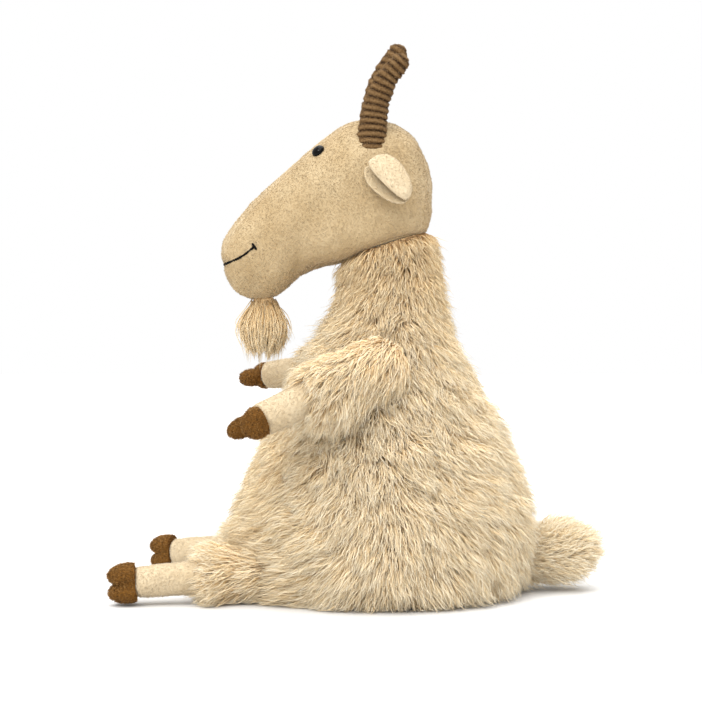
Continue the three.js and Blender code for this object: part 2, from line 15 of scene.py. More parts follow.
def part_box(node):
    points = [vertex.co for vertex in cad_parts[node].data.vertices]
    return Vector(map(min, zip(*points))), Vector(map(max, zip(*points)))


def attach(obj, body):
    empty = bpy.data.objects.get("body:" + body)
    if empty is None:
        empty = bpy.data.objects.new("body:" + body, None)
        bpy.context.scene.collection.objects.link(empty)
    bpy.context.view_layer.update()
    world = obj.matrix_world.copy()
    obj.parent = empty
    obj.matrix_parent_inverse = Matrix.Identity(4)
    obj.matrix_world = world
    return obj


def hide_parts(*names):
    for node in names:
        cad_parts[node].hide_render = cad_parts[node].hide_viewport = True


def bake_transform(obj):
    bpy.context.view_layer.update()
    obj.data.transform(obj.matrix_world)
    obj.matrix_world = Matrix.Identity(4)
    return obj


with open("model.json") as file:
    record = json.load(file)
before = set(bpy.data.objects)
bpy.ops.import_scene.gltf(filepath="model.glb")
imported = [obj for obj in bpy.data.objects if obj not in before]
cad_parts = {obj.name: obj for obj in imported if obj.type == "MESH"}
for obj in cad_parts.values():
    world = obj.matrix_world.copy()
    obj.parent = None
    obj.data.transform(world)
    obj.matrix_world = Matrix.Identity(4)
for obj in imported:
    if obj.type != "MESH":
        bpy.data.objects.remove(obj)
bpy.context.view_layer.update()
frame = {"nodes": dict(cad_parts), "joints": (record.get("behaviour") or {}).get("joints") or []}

MM = 0.001
LEFT = np.array([1.0, 0.0, 0.0])
UP = np.array([0.0, 0.0, 1.0])
SIDES = (("left", 1), ("right", -1))

# --- sizes shared with the frame, in millimetres ---
# Body, without its pile: height, front, back, half width.
BODY_ROWS = (
    (0, -58, 72, 60), (5, -64, 81, 69), (14, -68, 88, 75), (30, -69, 91, 77.5),
    (50, -67, 91, 76), (75, -58, 83.5, 68), (100, -47, 72, 57), (125, -35, 58.5, 46),
    (150, -22, 48, 36), (172, -12, 42.5, 28.5), (190, -9.5, 39.5, 25), (206, -10, 38, 24),
    (213, -10.5, 37.5, 23.5),
)
BODY_MIDDLE = np.array([0, 10, 80])
NECK_START, NECK_TOP = 176, 213  # where the body starts to tilt towards the neck seam, and its end
NECK_TILT = math.radians(17.7)  # the neck seam rises to the back
NECK_SEAM_RISE = 9  # how far below the pivot the neck's fur starts
NECK_BEND_DEPTH = 14  # how far below the pivot the bending starts
NECK_CUP_RADIUS = 25.6
COLLAR_RADIUS = 25.3  # of the head's cloth round the neck
COLLAR_TOP = 24  # above the neck's pivot

# Head, nose to back: y, underside, top, half width.
HEAD_ROWS = (
    (-88.5, 206.9, 207.1, 0.1), (-88.4, 205.5, 208.5, 1), (-87.4, 199, 215, 8),
    (-84.5, 191.5, 220.8, 14), (-79, 184.5, 229.3, 18.5), (-71, 181, 239.3, 21),
    (-62, 180, 247.8, 23), (-52, 184.5, 256.6, 25), (-40, 194.5, 267.5, 27.5),
    (-28, 200.5, 277.5, 30), (-14, 204, 287, 32), (-1, 207.7, 290.5, 33), (12, 212, 289.3, 32.5),
    (23, 215.5, 285, 30), (31, 218.3, 278.5, 26), (37, 222, 266, 18.5), (40.5, 232, 254, 9),
    (41.5, 240, 246, 2), (41.7, 242.9, 243.1, 0.1),
)
HEAD_MIDDLE = np.array([0, -20, 235])
GUSSET_HALF_WIDTH = 13
GUSSET_FOOT = (-92, 206)  # y and z of the strip's lower edge, at the nose
GUSSET_NAPE = (46, 232)  # and at the back of the head
GUSSET_CLOSING = (35.5, 41)  # the y between which the strip widens to the whole of the nape

HORN_PATH = (
    (21.8, 4, 257.5), (20.2, 4, 272), (19.3, 5, 290), (20, 7.5, 304), (21.3, 12.5, 317),
    (22.5, 19.5, 326.5), (23.5, 24.5, 332.5),
)
HORN_BASE = 262  # where the stretch starts
HORN_STRETCH = {"left": 0.91, "right": 1.13}  # upward; the left horn stoops, the right stands
HORN_BASE_RADIUS, HORN_TIP_RADIUS = 10.1, 5.4
HORN_RIBS, POINTS_PER_RIB = 18, 12
HORN_RIB_DEPTH = 1.1
HORN_SEAM_TURN, HORN_SEAM_WIDTH = 1.1, 0.16  # where the sewn seam runs, in radians

EAR_ROOT = (36.5, 3.8, 260.5)
EAR_DIRECTION = (0.42, 0.59, -0.69)
EAR_LENGTH = 33
EAR_HALF_WIDTH = 10.8
EAR_WIDEST = 0.33  # along the length
EAR_FOLD_DEPTH = 3.3
EAR_BEND = 3  # of the tip, towards the head
EAR_FLAPS = (math.radians(114), math.radians(164))  # how far the near and far flaps reach round
EAR_STAND = (1.1, 0.6)  # of the back and of the lining, from the sheet between them

EYE_PLACE = (-28.5, 269.5)  # y and z on the side of the head
EYE_RADIUS = 4.2
EYE_DOME = 2.7
EYE_RIM = 0.8  # from the flat back to the widest ring

MOUTH_PATH = ((-87.4, 201.3), (-86, 201.4), (-83, 202), (-77, 204.2), (-72, 207.2), (-67, 211.2))
MOUTH_FRONT = (0, -88.1, 201.3)
MOUTH_TICK = ((-68.6, 213.2), (-65.6, 209.2))  # the short bar at each corner
MUZZLE_END, MUZZLE_REACH = -90, 4.5  # the mouth is pulled in deeper near the front
THREAD_RADIUS = 0.72
STITCH_POINTS, STITCH_LAP = 25, 4  # of the 400 along the mouth

BEARD_ROWS = (  # below the pivot, half width across, half width fore and aft
    (-7.5, 5, 7), (-3, 6, 8.5), (2, 7.5, 10.5), (8, 9, 12.5), (15, 8.5, 12.5), (22, 7, 10.5),
    (28, 5.5, 8), (36, 4.5, 6.5),
)
TAIL_ROWS = (  # distance along the tail's core, radius
    (-10, 2), (-7.5, 7), (-3, 9), (6, 9.5), (15, 10), (23, 9), (30, 6), (35, 1.2),
)
TAIL_PITCH = math.radians(9)

# A leg's fur part and plush part: radius, end radius, length. Its hoof: a toe's half width and
# depth, the toes' offset to each side, how far they reach and the web between them reaches, how
# far the inner toe stands ahead of the outer one, and the inner toe's share of the depth.
LIMBS = {
    "front_leg": {
        "joint": "swing", "fur": (12, 11, 47), "plush": (9.6, 9, 35), "roll": 5,
        "toe": (6, 8.7), "offset": 5.3, "reach": 13.4, "web": 6, "stagger": 4.8, "inner": 0.66,
    },
    "hind_leg": {
        "joint": "lift", "fur": (12, 11, 25), "plush": (9.6, 9, 42), "roll": 90,
        "toe": (6.6, 9.6), "offset": 4.9, "reach": 16, "web": 10, "stagger": 0, "inner": 1,
    },
}
TOE_START = 4  # from the hoof's seam to the middle of a toe
HOOF_VOXEL = 0.55
# The legs' fur: how much it hangs, how steeply it leaves the cloth at the end and at the root,
# and how much of that steepness is left at the hairs' ends.
SLEEVE_HAIR = {
    "front_leg": {
        "count": 8600, "length": 20, "hang": 0.75, "lift": 1.0, "root": 0.3, "stand": 0.2,
    },
    "hind_leg": {
        "count": 6400, "length": 18, "hang": 0.15, "lift": 0.9, "root": 0.08, "stand": 0.6,
    },
}
# Random spread of starts, ends and lengths, the lengths' limits, clump, clump size, wave.
LEG_HAIR = ((0.2, 0.22, 0.18), (0.55, 1.5), 0.78, 9, 0.07)
TAIL_HAIR = ((0.25, 0.32, 0.22), (0.5, 1.6), 0.62, 8, 0.12)
PIECE_GAP = 0.3
UV_MARGIN = 0.02  # round each piece's share of the texture

# --- the pile ---
BODY_STRANDS = 98000
STRANDS_PER_PIECE = 8800
HAIR_STEPS = 5
HAIR_TIP = 0.12  # of the width at the root
FUR_WIDTH = 0.54  # of a lock of hairs at its root
NAP_DENSITY = 3.2  # hairs for each square millimetre
PATCH_SHARE = 0.7  # of a hair's shade, where it has a patch; the rest is random
FLOOR_CLEARANCE, FLOOR_LAYER = 0.4, 1.6  # the hairs on the floor lie in a layer above it


# --- small tools ---
def unit(vectors):
    """Vectors scaled to length 1."""
    vectors = np.asarray(vectors, float)
    return vectors / np.maximum(np.linalg.norm(vectors, axis=-1, keepdims=True), 1e-9)


def bell(distance, width):
    """1 at no distance, falling smoothly to nothing over about two widths."""
    return np.exp(-((distance / width) ** 2))


def fade(value, start, end):
    """0 up to start and 1 from end on, and straight between them."""
    return np.clip((value - start) / (end - start), 0, 1)


def round_turns(count):
    """Angles once round, in even steps."""
    return np.linspace(0, math.tau, count, endpoint=False)


def turned(first, second, turn):
    """Directions at turn radians from first towards second."""
    return first * np.cos(turn)[..., None] + second * np.sin(turn)[..., None]


def rings_along(start, way, ring, distances, radii):
    """A ring of unit directions, repeated along a way at distances and with radii."""
    return start + distances[:, None, None] * way + radii[:, None, None] * ring


def smooth_rows(rows, count):
    """Rows of numbers as a smooth curve through them, at evenly spaced steps."""
    rows = np.asarray(rows, float)
    places = np.linspace(0, len(rows) - 1, count)
    index = np.minimum(places.astype(int), len(rows) - 2)
    share = (places - index)[:, None]
    ends = np.vstack([2 * rows[0] - rows[1], rows, 2 * rows[-1] - rows[-2]])
    before, start, end, after = (ends[index + step] for step in range(4))
    return 0.5 * (
        2 * start
        + (end - before) * share
        + (2 * before - 5 * start + 4 * end - after) * share**2
        + (3 * start - before - 3 * end + after) * share**3
    )


def evenly_along(path, count):
    """Points at even steps along a path, and their distances from its start."""
    reach = np.append(0, np.cumsum(np.linalg.norm(np.diff(path, axis=0), axis=1)))
    places = np.linspace(0, reach[-1], count)
    return np.stack([np.interp(places, reach, path[:, axis]) for axis in range(3)], 1), places


def wander(points, size, seed, waves=7):
    """Smooth noise between about -1 and 1, with features of about size millimetres."""
    draws = np.random.default_rng(seed)
    directions = unit(draws.normal(size=(waves, 3))) * draws.uniform(0.7, 1.5, (waves, 1))
    phases = draws.uniform(0, math.tau, waves)
    return np.sin(points @ (directions.T * math.pi / size) + phases).sum(-1) / math.sqrt(waves)


def bumps(points, *waves):
    """The sum of smooth noises, each of a height, a size and a seed."""
    return sum(height * wander(points, size, seed) for height, size, seed in waves)


def jittered(ways, spread, draws):
    """Unit vectors near ways."""
    return unit(ways + draws.normal(0, spread, ways.shape))


def vertex_values(mesh, key):
    """A row of three numbers, such as co or normal, for each of a mesh's vertices."""
    values = np.empty(len(mesh.vertices) * 3, np.float32)
    mesh.vertices.foreach_get(key, values)
    return values.reshape(-1, 3).astype(float)


def pivot_of(joint_name):
    """A joint's point, in millimetres."""
    joint = next(j for j in frame["joints"] if j["name"] == joint_name)
    return np.array(joint["pos_m"]) / MM


def near(points, joint_name, size):
    """1 at a joint's point, fading over about size millimetres round it."""
    return bell(np.linalg.norm(points - pivot_of(joint_name), axis=1), size)


def grid_faces(rows, columns, closed):
    """Quads between neighbouring points of a grid that is stored row by row."""
    index = np.arange(rows * columns).reshape(rows, columns)
    if closed:
        index = np.hstack([index, index[:, :1]])
    corners = (index[:-1, :-1], index[:-1, 1:], index[1:, 1:], index[1:, :-1])
    return np.stack(corners, -1).reshape(-1, 4)


def grid_normals(grid, outward):
    """Unit normals of a grid of points, turned to the side that outward points to."""
    normals = unit(np.cross(np.gradient(grid, axis=0), np.gradient(grid, axis=1)))
    facing = np.sign((normals * outward).sum(-1, keepdims=True))
    return normals * np.where(facing == 0, 1, facing)


def uv_grid(rows, columns):
    """Texture places for a grid of points that is stored row by row."""
    steps = (np.linspace(UV_MARGIN, 1 - UV_MARGIN, count) for count in (columns, rows))
    return np.stack(np.meshgrid(*steps), -1).reshape(-1, 2)


# --- making objects ---
def new_mesh(name, points, faces):
    """A mesh from points in millimetres and faces that all have the same number of corners."""
    mesh = bpy.data.meshes.new(name)
    mesh.vertices.add(len(points))
    mesh.vertices.foreach_set("co", (np.asarray(points) * MM).astype(np.float32).ravel())
    mesh.loops.add(faces.size)
    mesh.loops.foreach_set("vertex_index", faces.ravel())
    mesh.polygons.add(len(faces))
    starts = np.arange(0, faces.size, faces.shape[1], dtype=np.int32)
    mesh.polygons.foreach_set("loop_start", starts)
    mesh.update(calc_edges=True)
    return mesh


def new_object(name, data):
    """An object in the scene."""
    thing = bpy.data.objects.new(name, data)
    bpy.context.scene.collection.objects.link(thing)
    return thing


def add_piece(name, points, faces, material, body, uv, solid=True):
    """A mesh object that rides on a body of the frame. A solid's faces are turned outward."""
    faces = np.asarray(faces, np.int32)
    mesh = new_mesh(name, points, faces)
    mesh.polygons.foreach_set("use_smooth", np.ones(len(faces), bool))
    layer = mesh.uv_layers.new(name="OFBake")
    layer.data.foreach_set("uv", uv[faces.ravel()].astype(np.float32).ravel())
    mesh.materials.append(MATERIALS[material])
    if solid:
        shape = bmesh.new()
        shape.from_mesh(mesh)
        bmesh.ops.recalc_face_normals(shape, faces=shape.faces)
        shape.to_mesh(mesh)
        shape.free()
    piece = new_object(name, mesh)
    if body:
        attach(piece, body)
    return piece


def declare(node):
    """Hides the frame node that a piece stands for."""
    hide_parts(node)


def thick_sheet(name, outer, thickness, material, body, outward, closed=False):
    """A sheet of cloth: an outer grid of points, and an inner one a thickness below it.

    outward points to the outer grid's side. A closed grid's last column joins its first.
    """
    rows, columns = outer.shape[:2]
    lap = int(closed)
    wrapped, wrapped_outward = (
        np.pad(values, ((0, 0), (lap, lap), (0, 0)), mode="wrap") for values in (outer, outward)
    )
    normals = grid_normals(wrapped, wrapped_outward)[:, lap:lap + columns]
    inner = outer - normals * thickness
    points = np.concatenate([outer.reshape(-1, 3), inner.reshape(-1, 3)])
    sheet = grid_faces(rows, columns, closed)
    index = np.arange(rows * columns).reshape(rows, columns)
    looped = np.hstack([index, index[:, :lap]])
    edges = [looped[0], looped[-1]]
    if not closed:
        edges += [index[:, 0], index[:, -1]]
    below = index.size
    walls = [
        np.stack([edge[:-1], edge[1:], edge[1:] + below, edge[:-1] + below], 1) for edge in edges
    ]
    faces = np.concatenate([sheet, sheet[:, ::-1] + below, *walls])
    uv = uv_grid(rows, columns)
    piece = add_piece(name, points, faces, material, body, np.concatenate([uv, uv]))
    piece["outer_faces"] = len(sheet)
    return piece


def closed_loft(name, rings, material, body, node=None):
    """A closed solid through rings of points, with a cap on each end."""
    rows, columns = rings.shape[:2]
    quads = grid_faces(rows, columns, True)
    points = np.concatenate([rings.reshape(-1, 3), [rings[0].mean(0), rings[-1].mean(0)]])
    index = np.arange(columns)
    after = (index + 1) % columns
    last = (rows - 1) * columns
    cap = np.full(columns, rows * columns)
    faces = np.concatenate([
        quads[:, [0, 1, 2]],
        quads[:, [0, 2, 3]],
        np.stack([cap, after, index], 1),
        np.stack([cap + 1, last + index, last + after], 1),
    ])
    uv = np.concatenate([uv_grid(rows, columns), [[0.5, UV_MARGIN], [0.5, 1 - UV_MARGIN]]])
    piece = add_piece(name, points, faces, material, body, uv)
    if node:
        declare(node)
    return piece


# --- hair ---
def scatter(mesh, count, draws):
    """Random points on a mesh, evenly by area, with their normals."""
    mesh.calc_loop_triangles()
    corners = np.array([triangle.vertices for triangle in mesh.loop_triangles])
    places = vertex_values(mesh, "co") / MM
    normals = vertex_values(mesh, "normal")
    a, b, c = (places[corners[:, corner]] for corner in range(3))
    area = np.linalg.norm(np.cross(b - a, c - a), axis=1)
    chosen = corners[draws.choice(len(corners), count, p=area / area.sum())]
    first, second = draws.random(count), draws.random(count)
    swap = first + second > 1
    first[swap], second[swap] = 1 - first[swap], 1 - second[swap]
    weights = np.stack([1 - first - second, first, second], 1)[:, :, None]
    return (places[chosen] * weights).sum(1), unit((normals[chosen] * weights).sum(1))


def scatter_outside(piece, draws):
    """Roots for a nap on a piece's outer faces, which are its first ones."""
    outer = piece.data.copy()
    shape = bmesh.new()
    shape.from_mesh(outer)
    shown = piece.get("outer_faces", len(shape.faces))
    inner = [face for face in shape.faces if face.index >= shown]
    bmesh.ops.delete(shape, geom=inner, context="FACES_ONLY")
    shape.to_mesh(outer)
    area = sum(face.calc_area() for face in shape.faces) / MM**2
    shape.free()
    found = scatter(outer, int(area * NAP_DENSITY), draws)
    bpy.data.meshes.remove(outer)
    return found


def hair_paths(roots, start_way, end_way, length, steps, draws, clump, clump_size, wave=0.0):
    """Middle lines of hairs: each leaves along start_way and bends towards end_way.

    Neighbours gather into clumps of about clump_size hairs, whose ends draw together by clump.
    """
    count = len(roots)
    place = np.linspace(0, 1, steps)[None, :, None]
    bend = start_way[:, None] * (place - place**2 / 2) + end_way[:, None] * place**2 / 2
    paths = roots[:, None] + length[:, None, None] * bend
    sideways = unit(np.cross(end_way, draws.normal(size=(count, 3))))[:, None]
    phase = draws.uniform(0, math.tau, (count, 1, 1))
    waves = draws.uniform(0.8, 1.7, (count, 1, 1))
    swing = np.sin(phase + math.tau * waves * place) - np.sin(phase)
    paths = paths + sideways * swing * (wave * length)[:, None, None] * place
    leaders = draws.choice(count, max(count // clump_size, 1), replace=False)
    tree = kdtree.KDTree(len(leaders))
    for index, leader in enumerate(leaders):
        tree.insert(roots[leader], index)
    tree.balance()
    nearest = leaders[[tree.find(root)[1] for root in roots]]
    pull = clump * draws.uniform(0.55, 1.0, (count, 1, 1)) * place**1.4
    return paths + (paths[nearest] - paths) * pull


def hair_mesh(name, paths, width, material, body, draws, patches_and_painted_light=None):
    """Three-sided tapering hairs along their middle lines, in one mesh.

    A hair's shade is random, or partly its patch's, from 0 to 1. It is the texture's u, and v
    climbs from the root to the tip.
    """
    count, steps, _ = paths.shape
    place = np.linspace(0, 1, steps)
    tangents = unit(np.gradient(paths, axis=1))
    side = unit(np.cross(tangents, draws.normal(size=(count, 1, 3))))
    over = np.cross(tangents, side)
    taper = (1 - place**1.8) * (1 - HAIR_TIP) + HAIR_TIP
    radius = (width[:, None] / 2 * taper)[..., None]
    rings = np.stack([paths + turned(side, over, turn) * radius for turn in round_turns(3)], 2)
    points = np.concatenate([rings[:, :-1].reshape(count, -1, 3), paths[:, -1:]], 1)
    each = points.shape[1]
    faces = [(2, 1, 0)]
    for corner in range(each - 4):
        after = corner + 1 if corner % 3 < 2 else corner - 2
        faces += [(corner, after, after + 3), (corner, after + 3, corner + 3)]
    last = each - 4
    faces += [(last + corner, last + (corner + 1) % 3, each - 1) for corner in range(3)]
    faces = np.array(faces)[None] + each * np.arange(count)[:, None, None]
    shade = draws.uniform(0.01, 0.99, (count, 1))
    if patches_and_painted_light is not None:
        patches_and_painted_light = np.clip(patches_and_painted_light, 0.01, 0.99)[:, None]
        shade = (1 - PATCH_SHARE) * shade + PATCH_SHARE * patches_and_painted_light
    climb = 0.01 + 0.98 * np.append(np.repeat(place[:-1], 3), 1.0)
    uv = np.stack(np.broadcast_arrays(shade, climb), -1).reshape(-1, 2)
    points, faces = points.reshape(-1, 3), faces.reshape(-1, 3)
    hair = add_piece(name, points, faces, material, body, uv, solid=False)
    return hair


def long_hair(name, body, material, roots, start, end, length, style, draws):
    """Fur on a tail or a leg, with its random spreads, clumps and waves in style."""
    spread, limits, clump, clump_size, wave = style
    start, end = jittered(start, spread[0], draws), jittered(end, spread[1], draws)
    length = length * draws.normal(1, spread[2], len(roots)).clip(*limits)
    paths = hair_paths(roots, start, end, length, HAIR_STEPS, draws, clump, clump_size, wave)
    width = FUR_WIDTH * draws.uniform(0.7, 1.3, len(roots))
    hair_mesh(name, above_floor(paths, draws), width, material, body, draws)


def above_floor(paths, draws):
    """Hair paths laid on the floor where they would pass through it."""
    layer = draws.uniform(0, FLOOR_LAYER, paths.shape[:1])[:, None]
    paths[..., 2] = np.maximum(paths[..., 2], FLOOR_CLEARANCE + layer)
    return paths


def combed(normals, way, turn):
    """Directions along the surface nearest to way, turned about the normal by turn radians."""
    way = np.broadcast_to(way, normals.shape)
    flat = unit(way - (way * normals).sum(-1, keepdims=True) * normals)
    return turned(flat, np.cross(normals, flat), turn)


def nap_on(piece, name, body, material, draws, way, swirl, length=1.3, width=0.22):
    """Short straight hairs over a plush piece, leaning along way with a swirl as in bumps."""
    roots, normals = scatter_outside(piece, draws)
    count = len(roots)
    lean = jittered(normals * 0.8 + combed(normals, way, bumps(roots, swirl)), 0.25, draws)
    lengths = length * draws.uniform(0.6, 1.25, count)
    sunk = roots - normals * 0.15
    paths = hair_paths(sunk, lean, lean, lengths, 2, draws, clump=0.45, clump_size=6)
    if body.startswith("hind_leg"):
        paths = above_floor(paths, draws)
    patches_and_painted_light = 0.5 + bumps(roots, (0.22, 1.4, 46), (0.16, 0.8, 47))
    if body == "head":  # painted light low down, at the muzzle; painted shade up top
        patches_and_painted_light = patches_and_painted_light + np.interp(roots[:, 2], [183, 245], [0.6, -0.3])
    widths = width * draws.uniform(0.7, 1.3, count)
    hair_mesh(name, paths, widths, material, body, draws, patches_and_painted_light)


# --- materials ---
class Nodes:
    """A material's node tree, with short ways to add and join nodes."""

    def __init__(self, name):
        self.material = bpy.data.materials.new(name)
        self.material.use_nodes = True
        self.tree = self.material.node_tree
        self.shader = self.tree.nodes["Principled BSDF"]

    def add(self, kind, **values):
        """A node, with its inputs set by name from values or from other nodes' outputs."""
        node = self.tree.nodes.new(kind)
        for key, value in values.items():
            if key in node.inputs:
                self.join(value, node.inputs[key])
            else:
                setattr(node, key, value)
        return node

    def join(self, value, socket):
        """Sets a socket to a value, or links an output to it."""
        if isinstance(value, bpy.types.NodeSocket):
            self.tree.links.new(value, socket)
        else:
            socket.default_value = value

    def shade(self, **values):
        """Sets the shader's sockets, with _ for each space in their names."""
        for key, value in values.items():
            self.join(value, self.shader.inputs[key.replace("_", " ")])
        return self.material

    def texture_place(self):
        """The texture's u and v."""
        uv = self.add("ShaderNodeUVMap", uv_map="OFBake").outputs["UV"]
        split = self.add("ShaderNodeSeparateXYZ", Vector=uv)
        return split.outputs["X"], split.outputs["Y"]

    def noise(self, size, detail=3.0, rough=0.55):
        """Noise with features about size millimetres across."""
        place = self.add("ShaderNodeTexCoord").outputs["Object"]
        return self.add(
            "ShaderNodeTexNoise",
            Vector=place, Scale=1 / (size * MM), Detail=detail, Roughness=rough,
        ).outputs["Fac"]

    def ramp(self, value, *stops):
        """A colour ramp through (place, sRGB colour) stops."""
        node = self.add("ShaderNodeValToRGB", Fac=value)
        elements = node.color_ramp.elements
        while len(elements) < len(stops):
            elements.new(0.5)
        for element, (place, colour) in zip(elements, stops):
            element.position = place
            element.color = (*linear(colour), 1)
        return node.outputs["Color"]

    def math(self, operation, *values):
        """The result of one arithmetic step."""
        node = self.add("ShaderNodeMath", operation=operation)
        for value, socket in zip(values, node.inputs):
            self.join(value, socket)
        return node.outputs[0]

    def range(self, value, low, high):
        """A value from 0 to 1, stretched to run from low to high."""
        limits = {"To Min": low, "To Max": high}
        return self.add("ShaderNodeMapRange", Value=value, **limits).outputs["Result"]

    def mix(self, share, first, second, how="MIX"):
        """Two colours mixed."""
        node = self.add("ShaderNodeMix", data_type="RGBA", blend_type=how)
        for value, index in ((share, 0), (first, 6), (second, 7)):
            self.join(value, node.inputs[index])
        return node.outputs[2]

    def bump(self, height, distance):
        """A bump of a distance in millimetres."""
        return self.add("ShaderNodeBump", Height=height, Distance=distance * MM).outputs["Normal"]


def linear(colour):
    """A colour of 0 to 255 per channel, as linear light."""
    share = np.asarray(colour) / 255
    return tuple(np.where(share <= 0.04045, share / 12.92, ((share + 0.055) / 1.055) ** 2.4))


WHITE = (255, 255, 255)
CLOTH_GLOSS = 0.15  # cloth reflects less of the light than a hard surface
# Four shades that the hairs' colours are multiplied by, each hair by its own.
LOCKS = ((216, 194, 158), (244, 234, 216), (255, 254, 252), (244, 230, 206))
NAP = ((208, 199, 185), (232, 226, 216), (246, 242, 236), WHITE)
PALE = ((244, 241, 236), (250, 248, 245), (253, 252, 250), WHITE)
HOOF = ((80, 71, 58), (160, 150, 134), (238, 232, 221), WHITE)
SHADE_STOPS = (0.0, 0.3, 0.65, 1.0)


def fur_material(name, root, middle, tip, shades=LOCKS, sheen=0.1):
    """Hairs that pale towards their ends, each of its own shade, and painted shade at the roots."""
    nodes = Nodes(name)
    each, climb = nodes.texture_place()
    # darker at the root: partly the fibres' own colour and partly painted shade deep in the pile
    along = nodes.ramp(climb, (0.0, root), (0.4, middle), (1.0, tip))
    shade = nodes.ramp(each, *zip(SHADE_STOPS, shades))
    return nodes.shade(
        Base_Color=nodes.mix(1.0, along, shade, "MULTIPLY"),
        Roughness=nodes.range(each, 0.6, 0.8),
        Specular_IOR_Level=CLOTH_GLOSS,
        Sheen_Weight=sheen,
        Sheen_Roughness=0.4,
    )


def backing_material(name, colour, dark):
    """The knitted backing under a pile."""
    nodes = Nodes(name)
    knit = nodes.noise(0.9, detail=1.0)
    return nodes.shade(
        Base_Color=nodes.ramp(nodes.noise(6), (0.3, dark), (0.7, colour)),
        Roughness=nodes.range(knit, 0.85, 0.98),
        Normal=nodes.bump(knit, 0.4),
    )


def plush_material(name, colour, light, dark, sheen=0.1):
    """Short plush: a nap of fine tufts, with painted light on them and painted shade between."""
    nodes = Nodes(name)
    tufts = nodes.noise(0.8, detail=4.0, rough=0.6)
    fine = nodes.noise(0.28, detail=2.0)
    # painted light and shade: paler where the bump's noise is high, darker where it is low
    nap = nodes.ramp(tufts, (0.25, dark), (0.5, colour), (0.78, light))
    wash = nodes.ramp(nodes.noise(22, detail=2.0), (0.3, (236, 230, 220)), (0.7, WHITE))
    return nodes.shade(
        Base_Color=nodes.mix(1.0, nap, wash, "MULTIPLY"),
        Roughness=nodes.range(fine, 0.78, 0.95),
        Specular_IOR_Level=CLOTH_GLOSS,
        Sheen_Weight=sheen,
        Sheen_Roughness=0.5,
        Normal=nodes.bump(nodes.mix(0.35, tufts, fine), 0.25),
    )


def corduroy_material(name):
    """Brown corduroy: painted shade dark between its ribs, with the cut pile's fine flecks."""
    nodes = Nodes(name)
    from_start = nodes.math("SUBTRACT", nodes.texture_place()[1], UV_MARGIN)
    even = nodes.math("MULTIPLY", from_start, math.tau * HORN_RIBS / (1 - 2 * UV_MARGIN))
    uneven = nodes.math("MULTIPLY_ADD", nodes.noise(4, detail=2.0), 1.2, -0.6)
    turns = nodes.math("ADD", even, uneven)
    ridge = nodes.math("MULTIPLY_ADD", nodes.math("COSINE", turns), 0.5, 0.5)
    # painted shade: the ramp's dark end lies in the grooves between the ribs
    rib = nodes.ramp(ridge, (0.0, (44, 27, 12)), (0.22, (98, 74, 46)), (1.0, (146, 119, 84)))
    flecks = nodes.noise(0.9, detail=4.0, rough=0.75)
    pile = nodes.ramp(flecks, (0.34, (150, 136, 118)), (0.5, (226, 218, 206)), (0.66, WHITE))
    wash = nodes.ramp(nodes.noise(7), (0.3, (226, 220, 212)), (0.7, WHITE))
    return nodes.shade(
        Base_Color=nodes.mix(1.0, nodes.mix(1.0, rib, pile, "MULTIPLY"), wash, "MULTIPLY"),
        Roughness=nodes.range(flecks, 0.75, 0.95),
        Specular_IOR_Level=CLOTH_GLOSS,
        Normal=nodes.bump(flecks, 0.35),
    )


def plain_material(name, colour, dark, rough, size, depth=0.1, gloss=0.5):
    """A plain material with a little unevenness in its colour, roughness and surface."""
    nodes = Nodes(name)
    grain = nodes.noise(size)
    return nodes.shade(
        Base_Color=nodes.ramp(grain, (0.3, dark), (0.7, colour)),
        Roughness=nodes.range(grain, *rough),
        Specular_IOR_Level=gloss,
        Normal=nodes.bump(grain, depth),
    )


MATERIALS = {name: make(name, *values) for make, name, *values in (
    (fur_material, "long_fur", (222, 184, 132), (253, 236, 202), (255, 249, 232)),
    (fur_material, "pale_fur", (230, 198, 152), (254, 241, 212), (255, 251, 238)),
    (fur_material, "beard_fur", (214, 188, 146), (240, 222, 188), (250, 239, 214)),
    (fur_material, "tan_plush_nap", (199, 175, 136), (211, 189, 152), (222, 203, 167), NAP, 0.2),
    (fur_material, "pale_plush_nap", (206, 187, 154), (219, 202, 172), (229, 214, 188), PALE),
    (fur_material, "mid_plush_nap", (205, 184, 148), (218, 198, 163), (229, 212, 178), NAP, 0.2),
    (fur_material, "hoof_nap", (78, 50, 20), (148, 108, 58), (214, 168, 106), HOOF, 0.0),
    (fur_material, "corduroy_nap", (70, 50, 28), (124, 99, 68), (172, 146, 112), LOCKS, 0.0),
    (plush_material, "tan_plush", (188, 167, 131), (194, 175, 141), (181, 159, 123)),
    (plush_material, "pale_plush", (208, 191, 161), (214, 199, 171), (202, 183, 151)),
    (plush_material, "mid_plush", (196, 177, 144), (202, 185, 153), (189, 169, 135)),
    (plush_material, "hoof_plush", (106, 70, 24), (130, 92, 42), (70, 42, 10), 0.0),
    (corduroy_material, "brown_corduroy"),
    (backing_material, "fur_backing", (222, 190, 142), (196, 160, 112)),
    (plain_material, "eye_plastic", (7, 5, 4), (3, 2, 2), (0.05, 0.1), 3, 0.01, 0.12),
    (plain_material, "black_thread", (14, 11, 9), (6, 5, 4), (0.7, 0.9), 0.3, 0.15, 0.1),
    (plain_material, "fibre_fill", (250, 250, 248), (226, 226, 222), (0.85, 1.0), 3, 1.0),
    (plain_material, "washer_plastic", (236, 234, 226), (220, 217, 208), (0.4, 0.6), 2),
    (plain_material, "pouch_cloth", (222, 221, 214), (196, 195, 188), (0.85, 0.95), 0.8, 0.3),
    (plain_material, "base_cloth", (206, 184, 148), (172, 148, 112), (0.85, 0.98), 1.0, 0.4),
)}


# --- body ---
def seam_height(y):
    """The height of the neck seam's plane at a place fore and aft."""
    pivot = pivot_of("head_nod")
    seam_y = pivot[1] - NECK_SEAM_RISE * math.sin(NECK_TILT)
    seam_z = pivot[2] + NECK_SEAM_RISE * math.cos(NECK_TILT)
    return seam_z + (y - seam_y) * math.tan(NECK_TILT)


